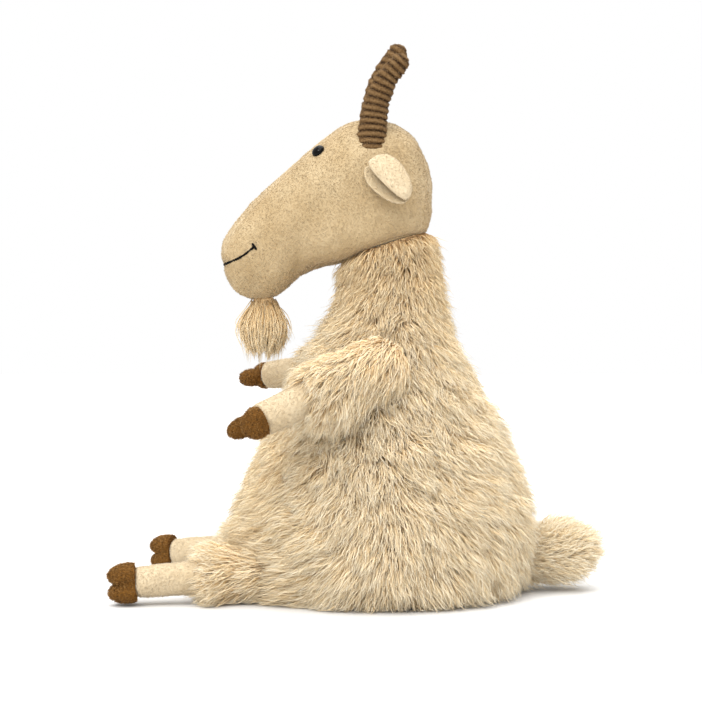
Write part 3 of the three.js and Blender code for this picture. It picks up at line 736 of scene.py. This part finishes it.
def body_grid(sign):
    """One side of the body's surface, from the base to the neck seam, front to back."""
    height, front, back, half_width = smooth_rows(BODY_ROWS, 110).T[..., None]
    turn = np.linspace(-math.pi / 2, math.pi / 2, 80)
    x = sign * half_width * np.cos(turn)
    y = (front + back) / 2 + (back - front) / 2 * np.sin(turn)
    z = height + fade(height, NECK_START, NECK_TOP) ** 1.5 * (seam_height(y) - NECK_TOP)
    return np.stack([x, y, z], -1)


def body_comb(points, normals):
    """The way the body's hair lies: down, spread by slow swirls, and forward low at the front."""
    forward = fade(points[:, 1], 25, -55) * fade(points[:, 2], 110, 25)
    outward = np.sign(points[:, 0]) * 0.25 * forward
    way = np.stack([outward, -1.5 * forward, -np.ones(len(points))], 1)
    for side, _ in SIDES:
        way[:, 1] -= 3.5 * near(points, f"hind_leg_{side}_lift", 32)
    return combed(normals, way, bumps(points, (0.3, 60, 11), (0.28, 15, 12), (0.16, 6, 15)))


def body_hair(roots, normals, draws):
    """Paths of the body's hairs: longer and steeper over the hips and shoulders."""
    count = len(roots)
    comb = body_comb(roots, normals)
    height = roots[:, 2]
    length = np.interp(height, [0, 20, 130, 175, 213], [18, 21, 21, 17, 14])
    length *= draws.normal(1, 0.16, count).clip(0.55, 1.5) * (1 + 0.12 * wander(roots, 9, 13))
    standing = 1 + 0.25 * wander(roots, 12, 14)
    for side, _ in SIDES:
        over_limb = near(roots, f"hind_leg_{side}_lift", 26)
        over_limb += 0.6 * near(roots, f"front_leg_{side}_swing", 17)
        length *= 1 + 0.55 * over_limb
        standing += 0.5 * over_limb
    low_front = fade(roots[:, 1], 10, -50) * fade(height, 75, 35)
    start_way = jittered(normals * standing[:, None] + comb * 0.5, 0.22, draws)
    stray = 0.9 * (draws.random(count) > 0.93)
    outward = (0.28 + 0.3 * low_front + stray)[:, None]
    end_way = jittered(comb + normals * outward - UP * 0.1, 0.22, draws)
    paths = hair_paths(
        roots, start_way, end_way, length, HAIR_STEPS, draws, clump=0.62, clump_size=7, wave=0.08
    )
    return above_floor(paths, draws)


def body_tone_and_painted_shade(roots, draws):
    """Each body hair's shade: random, with painted shade up the neck and low on the front."""
    # painted shade under the head, up the neck, and under the arm, low on the front
    neck = np.interp(roots[:, 2], [120, 200], [0, 0.85])
    front = 0.6 * fade(roots[:, 1], -5, -45) * fade(roots[:, 2], 130, 90)
    return draws.random(len(roots)) * (1 - np.maximum(neck, front))


def make_body():
    """Body covers and their fur; the neck's fur is a piece of its own."""
    draws = np.random.default_rng(21)
    low, high = (pivot_of("head_nod") + UP * rise for rise in (-NECK_BEND_DEPTH, NECK_SEAM_RISE))
    for side, sign in SIDES:
        grid = body_grid(sign)
        cover = thick_sheet(
            f"body_cover_fabric_{side}", grid, 2.0, "fur_backing", None, grid - BODY_MIDDLE
        )
        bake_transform(cover)
        declare(f"body_cover_{side}")

        faces = grid_faces(*grid.shape[:2], False).astype(np.int32)
        surface = new_mesh("surface", grid.reshape(-1, 3), faces)
        roots, normals = scatter(surface, BODY_STRANDS // 2, draws)
        bpy.data.meshes.remove(surface)
        normals *= np.sign((normals * (roots - BODY_MIDDLE)).sum(1, keepdims=True))
        paths = body_hair(roots, normals, draws)
        width = FUR_WIDTH * draws.uniform(0.75, 1.3, len(roots))
        # each hair's random tone, with painted shade up the neck and low on the front
        tone_and_painted_shade = body_tone_and_painted_shade(roots, draws)

        neck = roots[:, 2] > low[2]
        order = np.argsort(np.arctan2(roots[:, 1] - BODY_MIDDLE[1], np.abs(roots[:, 0])))
        order = order[~neck[order]]
        parts = np.array_split(order, math.ceil(len(order) / STRANDS_PER_PIECE))
        names = [f"neck_fur_{side}", *(f"body_fur_{side}_{n}" for n in range(1, len(parts) + 1))]
        for name, part in zip(names, [neck, *parts]):
            body = None if part is neck else "torso"
            hair = hair_mesh(
                name, paths[part], width[part], "long_fur", body, draws,
                tone_and_painted_shade[part],
            )
            if part is neck:
                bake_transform(hair)


def make_base():
    """The flat panel that the goat sits on: a round of cloth, rippled, with a sewn edge."""
    low, high = (np.array(corner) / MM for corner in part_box("base_panel"))
    middle, half = (low + high) / 2, (high - low) / 2
    turn = round_turns(96)
    share = np.linspace(0.02, 1, 40)[:, None]
    x = middle[0] + half[0] * share * np.cos(turn)
    y = middle[1] + half[1] * share * np.sin(turn)
    flat = np.stack([x, y, np.zeros_like(x)], -1)
    ripple = 0.35 * (1 + wander(flat, 9, 31)) * share**2
    stitches = 0.25 * bell(1 - share, 0.03) * (1 + np.cos(60 * turn))
    flat[..., 2] = 0.05 + ripple + stitches
    down = np.broadcast_to(-UP, flat.shape)
    panel = thick_sheet("base_cloth_panel", flat, 1.2, "base_cloth", "torso", down, closed=True)
    declare("base_panel")


# --- head ---
def head_level(y):
    """The head's underside, top and half width at places fore and aft."""
    rows = smooth_rows(HEAD_ROWS, 420)
    return [np.interp(y, rows[:, 0], rows[:, column]) for column in (1, 2, 3)]


def head_squareness(y):
    """How square the head's lower half is: 2 is an ellipse. It is squarest over the neck."""
    return np.interp(y, [-40, -16, 34, 41.5], [2, 4.6, 4.6, 3])


def head_point(y, turn):
    """Points of the head's surface: y along it, and turn from its top towards its left."""
    under, top, half_width = head_level(y)
    power = np.where(np.cos(turn) < 0, head_squareness(y), 2)
    reach = (np.abs(np.sin(turn)) ** power + np.abs(np.cos(turn)) ** power) ** (-1 / power)
    x = half_width * np.sin(turn) * reach
    z = (under + top) / 2 + (top - under) / 2 * np.cos(turn) * reach
    return np.stack([x, y + 0 * x, z], -1)


def head_side_at(y, z, stand=0.0):
    """The point of the head's left surface at y and z, standing out by stand millimetres."""
    under, top, half_width = head_level(y)
    half_height = (top - under) / 2
    rise = (z - (under + top) / 2) / half_height
    power = np.where(rise < 0, head_squareness(y), 2)
    across = np.clip(1 - np.abs(rise) ** power, 0, 1) ** (1 / power)
    lean = np.sign(rise) * np.abs(rise) ** (power - 1) / half_height
    outward = unit(np.stack([across ** (power - 1) / half_width, 0 * rise, lean], -1))
    return np.stack([half_width * across, y + 0 * rise, z + 0 * rise], -1) + outward * stand


def gusset_line(y):
    """The height of the gusset's lower edge along the head."""
    slope = (GUSSET_NAPE[1] - GUSSET_FOOT[1]) / (GUSSET_NAPE[0] - GUSSET_FOOT[0])
    return GUSSET_FOOT[1] + (y - GUSSET_FOOT[0]) * slope


def shape_head(grid):
    """The head's stuffed form: seams and eyes pull the cloth in, and a cup takes the neck."""
    outward = grid_normals(grid, grid - HEAD_MIDDLE)
    side = np.abs(grid[..., 0])
    above = grid[..., 2] > gusset_line(grid[..., 1]) - 1
    pulls = 0.35 * bell(side - GUSSET_HALF_WIDTH, 0.9) * above + 0.4 * bell(side, 0.9) * ~above
    eye = head_side_at(*np.array(EYE_PLACE))
    for _, sign in SIDES:
        away = np.linalg.norm(grid - eye * (sign, 1, 1), axis=-1)
        pulls += 1.3 * bell(away, 5.5)
    mouth = head_side_at(*np.array(MOUTH_PATH).T)
    points = np.concatenate([mouth, mouth * (-1, 1, 1), [MOUTH_FRONT]])
    away = np.linalg.norm(grid[..., None, :] - points, axis=-1).min(-1)
    tuck = 0.5 + 2.4 * bell(grid[..., 1] - MUZZLE_END, MUZZLE_REACH)
    pulls += tuck * bell(away, 2.6)
    lumps = bumps(grid, (0.45, 17, 41), (0.16, 6, 42), (0.05, 2.2, 43))
    shaped = grid + outward * (lumps - pulls)[..., None]
    pivot = pivot_of("head_nod")
    arm = shaped - pivot
    reach = np.linalg.norm(arm, axis=-1, keepdims=True)
    return np.where(reach < NECK_CUP_RADIUS, pivot + arm / reach * NECK_CUP_RADIUS, shaped)


def gusset_turn(y):
    """How far round from the head's top the gusset reaches, in radians."""
    under, top, half_width = head_level(y)
    rise = np.clip((gusset_line(y) - (under + top) / 2) / ((top - under) / 2), -1, 1)
    across = np.arcsin(np.clip(GUSSET_HALF_WIDTH / half_width, 0, 1))
    closing = fade(y, *GUSSET_CLOSING)
    full = closing**2 * (3 - 2 * closing) * np.arccos(rise)
    return np.maximum(np.minimum(across, np.arccos(rise)), full)


def head_nap(piece, name, material, draws):
    """The nap of the head lies back and down from the nose."""
    nap_on(piece, name, "head", material, draws, (0, 0.8, -0.6), swirl=(0.7, 12, 44))


def make_head():
    """The head's three covers and their nap."""
    draws = np.random.default_rng(51)
    y = smooth_rows(HEAD_ROWS, 200)[:, :1]
    edge = gusset_turn(y)
    panels = [("head_gusset", np.linspace(-1, 1, 56) * edge, "mid_plush", "pale_plush")]
    for side, sign in SIDES:
        turn = sign * (edge + (math.pi - edge) * np.linspace(0, 1, 84))
        panels.append((f"head_side_{side}", turn, "tan_plush", "tan_plush"))
    for name, turn, material, slot in panels:
        grid = shape_head(head_point(y + 0 * turn, turn))
        cover = thick_sheet(f"{name}_cover", grid, 1.4, material, "head", grid - HEAD_MIDDLE)
        declare(name)
        head_nap(cover, f"{name}_nap", f"{material}_nap", draws)
    make_collar(draws)


def make_collar(draws):
    """The lower edge of the head's cloth, which comes down round the neck to its seam."""
    axis = np.array([0, -math.sin(NECK_TILT), math.cos(NECK_TILT)])
    ring = turned(LEFT, np.cross(axis, LEFT), round_turns(120))
    rise = np.append(NECK_SEAM_RISE + 0.4, np.linspace(NECK_SEAM_RISE + 1, COLLAR_TOP, 16))
    radius = COLLAR_RADIUS - 0.5 * np.exp(-(rise - NECK_SEAM_RISE) / 1.5)
    grid = rings_along(pivot_of("head_nod"), axis, ring, rise, radius)
    grid = grid + ring * (0.3 * wander(grid, 8, 45))[..., None]
    outward = np.broadcast_to(ring, grid.shape)
    collar = thick_sheet("head_collar", grid, 1.2, "tan_plush", "head", outward, closed=True)
    head_nap(collar, "head_collar_nap", "tan_plush_nap", draws)


def make_eyes():
    """Black domed safety eyes, each with a thin rim that presses into the plush."""
    arc = np.linspace(0, math.pi / 2, 18)
    profile = np.array([
        (0.0, 0.4), (1.5, 0.4), (EYE_RADIUS - 0.6, 0.4), (EYE_RADIUS - 0.05, 0.55),
        *zip(EYE_RADIUS * np.cos(arc), EYE_RIM + EYE_DOME * np.sin(arc)),
    ])
    place, ahead, above = (
        head_side_at(*np.add(EYE_PLACE, step)) for step in ((0, 0), (-1, 0), (0, 1))
    )
    facing = unit(np.cross(above - place, ahead - place))
    facing = facing * np.sign(facing[0])
    for side, sign in SIDES:
        outward = facing * (sign, 1, 1)
        right = unit(np.cross(UP, outward))
        ring = turned(right, np.cross(outward, right), round_turns(56))
        start = place * (sign, 1, 1)
        rings = rings_along(start, outward, ring, profile[:, 1] - EYE_RIM, profile[:, 0])
        closed_loft(
            f"eye_dome_{side}", rings, "eye_plastic", "head", f"eye_{side}"
        )


def thread_rings(path):
    """Rings round a path whose section is a two-ply thread, pointed at both ends."""
    tangents = unit(np.gradient(path, axis=0))
    right = unit(np.cross(tangents, (0.1, 0.2, 1.0)))
    place = np.linspace(0, 1, len(path))[:, None]
    swell = np.sqrt(np.clip(1 - np.abs(2 * place - 1) ** 4, 0.03, 1))
    turn = round_turns(12)
    lobes = 1 + 0.16 * np.cos(2 * (turn + math.tau * 1.5 * place))
    around = turned(right[:, None], np.cross(tangents, right)[:, None], turn)
    return path[:, None] + around * (THREAD_RADIUS * swell * lobes)[..., None]


def make_mouth():
    """The smile: back stitches of black thread, with a short bar at each corner."""
    half = head_side_at(*smooth_rows(MOUTH_PATH, 40).T, stand=0.15)
    half[:, 1] += 1.3 * bell(half[:, 1] - MUZZLE_END, MUZZLE_REACH)
    front = np.add(MOUTH_FRONT, (0, 1.2, 0))
    line, places = evenly_along(np.concatenate([(half * (-1, 1, 1))[::-1], [front], half]), 400)
    starts = range(0, len(places) - 20, STITCH_POINTS)
    stitches = [
        line[max(start - STITCH_LAP, 0):start + STITCH_POINTS + STITCH_LAP] for start in starts
    ]
    top, foot = np.array(MOUTH_TICK)
    share = np.linspace(0, 1, 16)[:, None]
    tick = head_side_at(*(top + (foot - top) * share).T, stand=0.4)
    stitches += [tick, tick * (-1, 1, 1)]
    bpy.ops.object.select_all(action="DESELECT")
    pieces = [
        closed_loft(f"mouth_thread_{number}", thread_rings(path), "black_thread", None)
        for number, path in enumerate(stitches, 1)
    ]
    for piece in pieces:
        piece.select_set(True)
    mouth = bpy.context.view_layer.objects.active = pieces[0]
    bpy.ops.object.join()
    mouth.name = "mouth_thread"
    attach(mouth, "head")
    declare("mouth_stitch")


# --- horns ---
def make_horns():
    """Corduroy horns: rounded ribs that run round, and a seam up the front."""
    draws = np.random.default_rng(61)
    turn = round_turns(72)
    for side, sign in SIDES:
        path = smooth_rows(np.array(HORN_PATH) * (sign, 1, 1), 600)
        path[:, 2] += np.maximum(path[:, 2] - HORN_BASE, 0) * (HORN_STRETCH[side] - 1)
        centre, places = evenly_along(path, HORN_RIBS * POINTS_PER_RIB)
        tangent = unit(np.gradient(centre, axis=0))
        right = unit(LEFT - tangent[:, :1] * tangent)
        around = turned(right[:, None], np.cross(tangent, right)[:, None], turn)
        middle = centre[:, None]
        along = places / places[-1]
        radius = HORN_BASE_RADIUS + (HORN_TIP_RADIUS - HORN_BASE_RADIUS) * along**1.25
        tip = np.clip(1 - (1 - fade(places[-1] - places, 0, 5)) ** 2, 0.02, 1)
        round_tip = np.sqrt(tip)[:, None]
        seam = bell((turn - HORN_SEAM_TURN + math.pi) % math.tau - math.pi, HORN_SEAM_WIDTH)
        phase = math.tau * np.arange(len(places))[:, None] / POINTS_PER_RIB
        shift = 0.5 * seam + 0.22 * np.sin(2 * turn + 1)
        shift = shift + 0.35 * wander(middle + HORN_BASE_RADIUS * around, 9, 65)
        rib = HORN_RIB_DEPTH * (np.abs(np.cos((phase + shift) / 2)) ** 0.5 - 1)
        tucked = 5 * bell(places, 7)
        size = ((radius - tucked)[:, None] + rib) * round_tip - 0.45 * seam
        rings = middle + around * size[..., None]
        rings = rings + around * bumps(rings, (0.2, 1.6, 62), (0.3, 6, 63))[..., None]
        inside = middle + around * (0.6 * radius[:, None] * round_tip)[..., None]
        name = f"horn_{side}"
        closed_loft(
            f"{name}_filling", inside[8:-16:4], "fibre_fill", "head", f"{name}_stuffing",
        )
        horn = closed_loft(
            f"{name}_corduroy", rings, "brown_corduroy", "head", f"{name}_cover"
        )
        swirl = (1.2, 3, 64)
        nap_on(horn, f"{name}_nap", "head", "corduroy_nap", draws, UP, swirl, 1.0)


# --- ears ---
def make_ears():
    """Folded ears: a pale back outside and a lining inside, sewn together round the rim.

    The fold runs along the upper edge, and the flap next to the head hangs lower.
    """
    draws = np.random.default_rng(71)
    along = np.linspace(0, 1, 44)[:, None]
    across = np.linspace(-1, 1, 64)[None]
    past = along - EAR_WIDEST
    beyond = past / np.where(past < 0, 1.16 * EAR_WIDEST, 1 - EAR_WIDEST)
    half_width = EAR_HALF_WIDTH * np.sqrt(np.clip(1 - beyond**2, 0.02, 1))
    depth = 0.5 + EAR_FOLD_DEPTH * half_width / EAR_HALF_WIDTH
    turn = across * np.where(across < 0, *EAR_FLAPS)
    inner = 1 - np.maximum(np.abs(across) ** 14, fade(along, 0.9, 1) ** 3)
    reach = EAR_LENGTH * along + 0 * turn
    for side, sign in SIDES:
        body = f"ear_{side}"
        way = unit(np.array(EAR_DIRECTION) * (sign, 1, 1))
        outward = np.array([sign, 0, 0.15])
        outward = unit(outward - outward @ way * way)
        upper = -sign * np.cross(way, outward)
        fold_out = unit(
            (np.cos(turn) / half_width)[..., None] * upper
            - (np.sin(turn) / depth)[..., None] * outward
        )
        middle = (
            np.array(EAR_ROOT) * (sign, 1, 1)
            + (half_width * np.cos(turn))[..., None] * upper
            + reach[..., None] * way
            - (depth * np.sin(turn) + EAR_BEND * along**2)[..., None] * outward
        )
        layers = (("back", 1, "pale_plush", "pale_plush"), ("lining", -1, "mid_plush", "tan_plush"))
        for (layer, facing, material, slot), stand in zip(layers, EAR_STAND):
            grid = middle + fold_out * (facing * (0.1 + stand * inner))[..., None]
            grid = grid + fold_out * (0.12 * wander(grid, 4, 72))[..., None]
            thickness = (0.08 + 0.6 * stand * inner)[..., None]
            name = f"{body}_{layer}"
            facing_out = facing * fold_out
            cloth = thick_sheet(f"{name}_cloth", grid, thickness, material, body, facing_out)
            declare(name)
            swirl = (0.6, 8, 73)
            nap_on(cloth, f"{name}_nap", body, f"{material}_nap", draws, way, swirl, 1.2)


# --- beard and tail ---
def make_beard():
    """A tuft of long hair that hangs from under the chin and draws together at its end."""
    draws = np.random.default_rng(81)
    pivot = pivot_of("beard_swing")
    below, half_across, half_fore_aft = np.array(BEARD_ROWS).T
    core = smooth_rows(BEARD_ROWS[:6], 20)
    turn = round_turns(28)
    shrink = np.interp(core[:, 0], [-7, 8, 22], [0.85, 0.45, 0.15])
    rings = np.stack([
        (shrink * core[:, 1])[:, None] * np.cos(turn),
        (shrink * core[:, 2])[:, None] * np.sin(turn),
        -core[:, 0, None] + 0 * turn,
    ], -1)
    closed_loft(
        "beard_heart", rings + pivot, "fur_backing", "beard", "beard"
    )

    count = 3000
    each = (count, 1)
    place = np.linspace(0, 1, 8)[None]
    start = draws.uniform(-7.5, 8, each) * draws.uniform(0.3, 1, each)
    end = np.minimum(start + draws.uniform(14, 38, each), draws.normal(29, 5, each))
    depth = start + (end - start) * place
    spread = np.sqrt(draws.uniform(0.1, 1.1, each))
    heading = draws.uniform(0, math.tau, each)
    wild = draws.random(each)
    stray = 1 + (0.3 * (wild > 0.7) + 0.4 * (wild > 0.93)) * place**0.7
    paths = np.stack([
        spread * stray * np.interp(depth, below, half_across) * np.cos(heading),
        spread * stray * np.interp(depth, below, half_fore_aft) * np.sin(heading),
        -depth,
    ], -1) + pivot
    phase = draws.uniform(0, math.tau, each)
    swing = np.sin(phase + math.tau * 1.3 * place) * place * 2.8
    paths = paths + swing[..., None] * unit(draws.normal(size=(count, 1, 3)))
    tufts = draws.choice(count, 120, replace=False)
    flat = np.concatenate([np.cos(heading) * spread, np.sin(heading) * spread], 1)
    away = ((flat[:, None] - flat[tufts][None]) ** 2).sum(-1)
    leader = tufts[away.argmin(1)]
    pull = 0.85 * draws.uniform(0.5, 1, (count, 1, 1)) * place[..., None] ** 1.5
    paths = paths + (paths[leader] - paths) * pull
    width = 0.55 * draws.uniform(0.7, 1.3, count)
    hair_mesh("beard_fur", paths, width, "beard_fur", "beard", draws)


def make_tail():
    """A short stuffed tail with long hair that points back."""
    draws = np.random.default_rng(91)
    pivot = pivot_of("tail_lift")
    way = np.array([0, math.cos(TAIL_PITCH), math.sin(TAIL_PITCH)])
    ring = turned(LEFT, np.cross(LEFT, way), round_turns(44))
    distance, radius = smooth_rows(TAIL_ROWS, 48).T
    rings = rings_along(pivot, way, ring, distance, radius)
    core = closed_loft(
        "tail_core", rings, "fur_backing", "tail", "tail_cover"
    )
    inside = rings_along(pivot, way, ring, 0.9 * distance, radius - 1.5)[4:-4]
    closed_loft("tail_filling", inside, "fibre_fill", "tail", "tail_stuffing")

    roots, normals = scatter(core.data, 7000, draws)
    along = (roots - pivot) @ way
    keep = along > -6
    roots, normals, along = roots[keep], normals[keep], along[keep]
    flare = np.interp(along, [0, 20, 34], [1.1, 0.9, 0.6])[:, None]
    start = normals * flare + way * 0.55
    end = way + normals * 0.35 + UP * 0.05
    length = np.interp(along, [0, 12, 34], [15, 18, 14])
    long_hair("tail_fur", "tail", "pale_fur", roots, start, end, length, TAIL_HAIR, draws)


# --- legs ---
def make_limb(limb, side, sign, draws):
    """One leg: fur sleeve, plush shin and cloven hoof."""
    kind = LIMBS[limb]
    style = SLEEVE_HAIR[limb]
    body = f"{limb}_{side}"
    pivot = pivot_of(f"{body}_{kind['joint']}")
    hoof_middle = vertex_values(frame["nodes"][f"{body}_hoof"].data, "co").mean(0) / MM
    way = unit(hoof_middle - pivot)
    level = unit(np.cross(UP, way))
    across = turned(level, sign * np.cross(way, level), math.radians(kind["roll"]))
    depth = np.cross(across, way)
    ring = turned(across, depth, round_turns(56))

    def tube(name, profile, count, material, replaced, lump=0.3):
        """A stuffed tube along the leg through (distance, radius) pairs."""
        rings = rings_along(pivot, way, ring, *smooth_rows(profile, count).T)
        lumps = bumps(rings, (lump, 9, 101), (0.05, 2.4, 102))
        return closed_loft(
            name, rings + ring * lumps[..., None], material, body, replaced
        )

    radius, end_radius, length = kind["fur"]
    ball = [(-radius * math.cos(a), radius * math.sin(a)) for a in np.linspace(0.12, 1.4, 5)]
    sleeve = tube(
        f"{body}_sleeve",
        [*ball, (length / 2, radius), (length - 2, end_radius), (length, end_radius - 1.5)],
        40, "fur_backing", f"{body}_fur_cover", lump=0.5,
    )
    plush_radius, plush_end, plush_length = kind["plush"]
    end = length + PIECE_GAP + plush_length
    tube(
        f"{body}_filling",
        [(-6, 4), (-3, 8), (length / 2, 8.5), (end - 4, 7.4), (end + 1, 6), (end + 3, 2)],
        30, "fibre_fill", f"{body}_stuffing",
    )
    roots, normals = scatter(sleeve.data, style["count"], draws)
    along = (roots - pivot) @ way
    fall = way * 0.8 - UP * style["hang"]
    comb = combed(normals, fall, 0.5 * wander(roots, 12, 103))
    rising = style["lift"] * np.clip((along - 2) / 20, style["root"], 1)[:, None]
    rooted = normals * rising + comb * 0.6
    hanging = fall + normals * rising * style["stand"]
    hair = style["length"] * np.interp(along, [length - 12, length], [1, 0.72])
    long_hair(f"{body}_fur", body, "long_fur", roots, rooted, hanging, hair, LEG_HAIR, draws)

    start = length + PIECE_GAP - 3
    shin = tube(
        f"{body}_shin",
        [
            (start, plush_radius - 2), (start + 1, plush_radius - 0.2), (start + 12, plush_radius),
            ((start + end) / 2, plush_radius), (end - 6, plush_end + 0.1),
            (end - 1.6, plush_end - 0.2), (end, plush_end - 1.4),
        ],
        70, "pale_plush", f"{body}_plush_cover",
    )
    swirl = (0.7, 8, 104)
    nap_on(shin, f"{body}_shin_nap", body, "pale_plush_nap", draws, way, swirl, 1.5)
    hoof = make_hoof(kind, sign, body, pivot + way * (end + PIECE_GAP), way, across, depth)
    nap_on(hoof, f"{body}_hoof_nap", body, "hoof_nap", draws, way, swirl, 1.7, 0.3)


def make_hoof(kind, sign, body, start, way, across, depth):
    """A cloven hoof: two stuffed toes that run together where they meet the shin."""
    half_width, half_depth = kind["toe"]
    blobs = [(0, 1.5, (8.6, kind["web"], 8.6))]
    for toe in (1, -1):
        ahead, share = (kind["stagger"], kind["inner"]) if toe * sign < 0 else (0, 1)
        radii = (half_width, kind["reach"] - TOE_START, half_depth * share)
        blobs.append((toe * kind["offset"], TOE_START + ahead, radii))
    shape = bmesh.new()
    for aside, along, radii in blobs:
        blob = bmesh.ops.create_uvsphere(shape, u_segments=40, v_segments=24, radius=1.0)
        for vertex in blob["verts"]:
            x, y, z = np.array(vertex.co) * radii
            place = start + across * (aside + x) + way * (along + y) + depth * z
            vertex.co = place * MM
    mesh = bpy.data.meshes.new(f"{body}_toes")
    shape.to_mesh(mesh)
    shape.free()
    hoof = new_object(f"{body}_toes", mesh)
    melt = hoof.modifiers.new("melt", "REMESH")
    melt.mode = "VOXEL"
    melt.voxel_size = HOOF_VOXEL * MM
    smooth = hoof.modifiers.new("smooth", "SMOOTH")
    smooth.factor = 0.5
    smooth.iterations = 5
    bpy.context.view_layer.update()
    melted = hoof.evaluated_get(bpy.context.evaluated_depsgraph_get())
    made = bpy.data.meshes.new_from_object(melted)
    hoof.modifiers.clear()
    hoof.data = made
    places = vertex_values(made, "co") / MM
    short = ((places - start - way * 0.2) @ way).clip(max=0)  # flat where it meets the shin
    places = places - short[:, None] * way
    made.vertices.foreach_set("co", (places * MM).astype(np.float32).ravel())
    made.materials.clear()
    made.materials.append(MATERIALS["hoof_plush"])
    made.polygons.foreach_set("use_smooth", np.ones(len(made.polygons), bool))
    made.update()
    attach(hoof, body)
    declare(f"{body}_hoof")
    return hoof


def make_limbs():
    """All four legs."""
    draws = np.random.default_rng(111)
    for limb in LIMBS:
        for side, sign in SIDES:
            make_limb(limb, side, sign, draws)


# --- inside ---
def finish_inner_nodes():
    """Gives the frame's inner pieces their own materials."""
    finishes = {"stuffing": "fibre_fill", "washer": "washer_plastic", "pouch": "pouch_cloth"}
    for name, node in frame["nodes"].items():
        for word, material in finishes.items():
            if word in name:
                node.data.materials.clear()
                node.data.materials.append(MATERIALS[material])


# --- stage ---
CAMERA_PLACE = (0.9, -0.0086, 0.148)
CAMERA_LENS = 74.44
FLOOR_HALF = 8  # metres
SUNS = (  # name, where it shines from, angle across in degrees, strength
    ("key", (0.8, -0.2, 0.95), 50, 1.95),
    ("top", (-0.1, 0.1, 1.0), 60, 1.9),
    ("spark", (0.75, -0.5, 0.8), 8, 0.5),
)


def make_stage():
    """A plain pale floor, soft light and the camera."""
    scene = bpy.context.scene
    corners = [(x * FLOOR_HALF, y * FLOOR_HALF, 0) for x, y in ((-1, -1), (1, -1), (1, 1), (-1, 1))]
    mesh = bpy.data.meshes.new("floor")
    mesh.from_pydata(corners, [], [(0, 1, 2, 3)])
    mesh.materials.append(Nodes("floor").shade(Base_Color=(0.72, 0.715, 0.705, 1), Roughness=0.9))
    new_object("floor", mesh)

    scene.world = bpy.data.worlds.new("studio")
    scene.world.use_nodes = True
    background = scene.world.node_tree.nodes["Background"]
    background.inputs["Color"].default_value = (1, 1, 1, 1)
    background.inputs["Strength"].default_value = 1.0

    for name, place, spread, strength in SUNS:
        lamp = bpy.data.lights.new(name, "SUN")
        lamp.angle = math.radians(spread)
        lamp.energy = strength
        light = new_object(name, lamp)
        light.location = place
        light.rotation_euler = (-Vector(place)).to_track_quat("-Z", "Y").to_euler()

    camera_data = bpy.data.cameras.new("camera")
    camera_data.sensor_width = 36
    camera_data.lens = CAMERA_LENS
    camera = new_object("camera", camera_data)
    camera.location = CAMERA_PLACE
    camera.rotation_euler = (math.pi / 2, 0, math.pi / 2)
    scene.camera = camera
    scene.view_settings.view_transform = "Standard"


make_body()
make_base()
make_head()
make_eyes()
make_mouth()
make_horns()
make_ears()
make_beard()
make_tail()
make_limbs()
finish_inner_nodes()
make_stage()
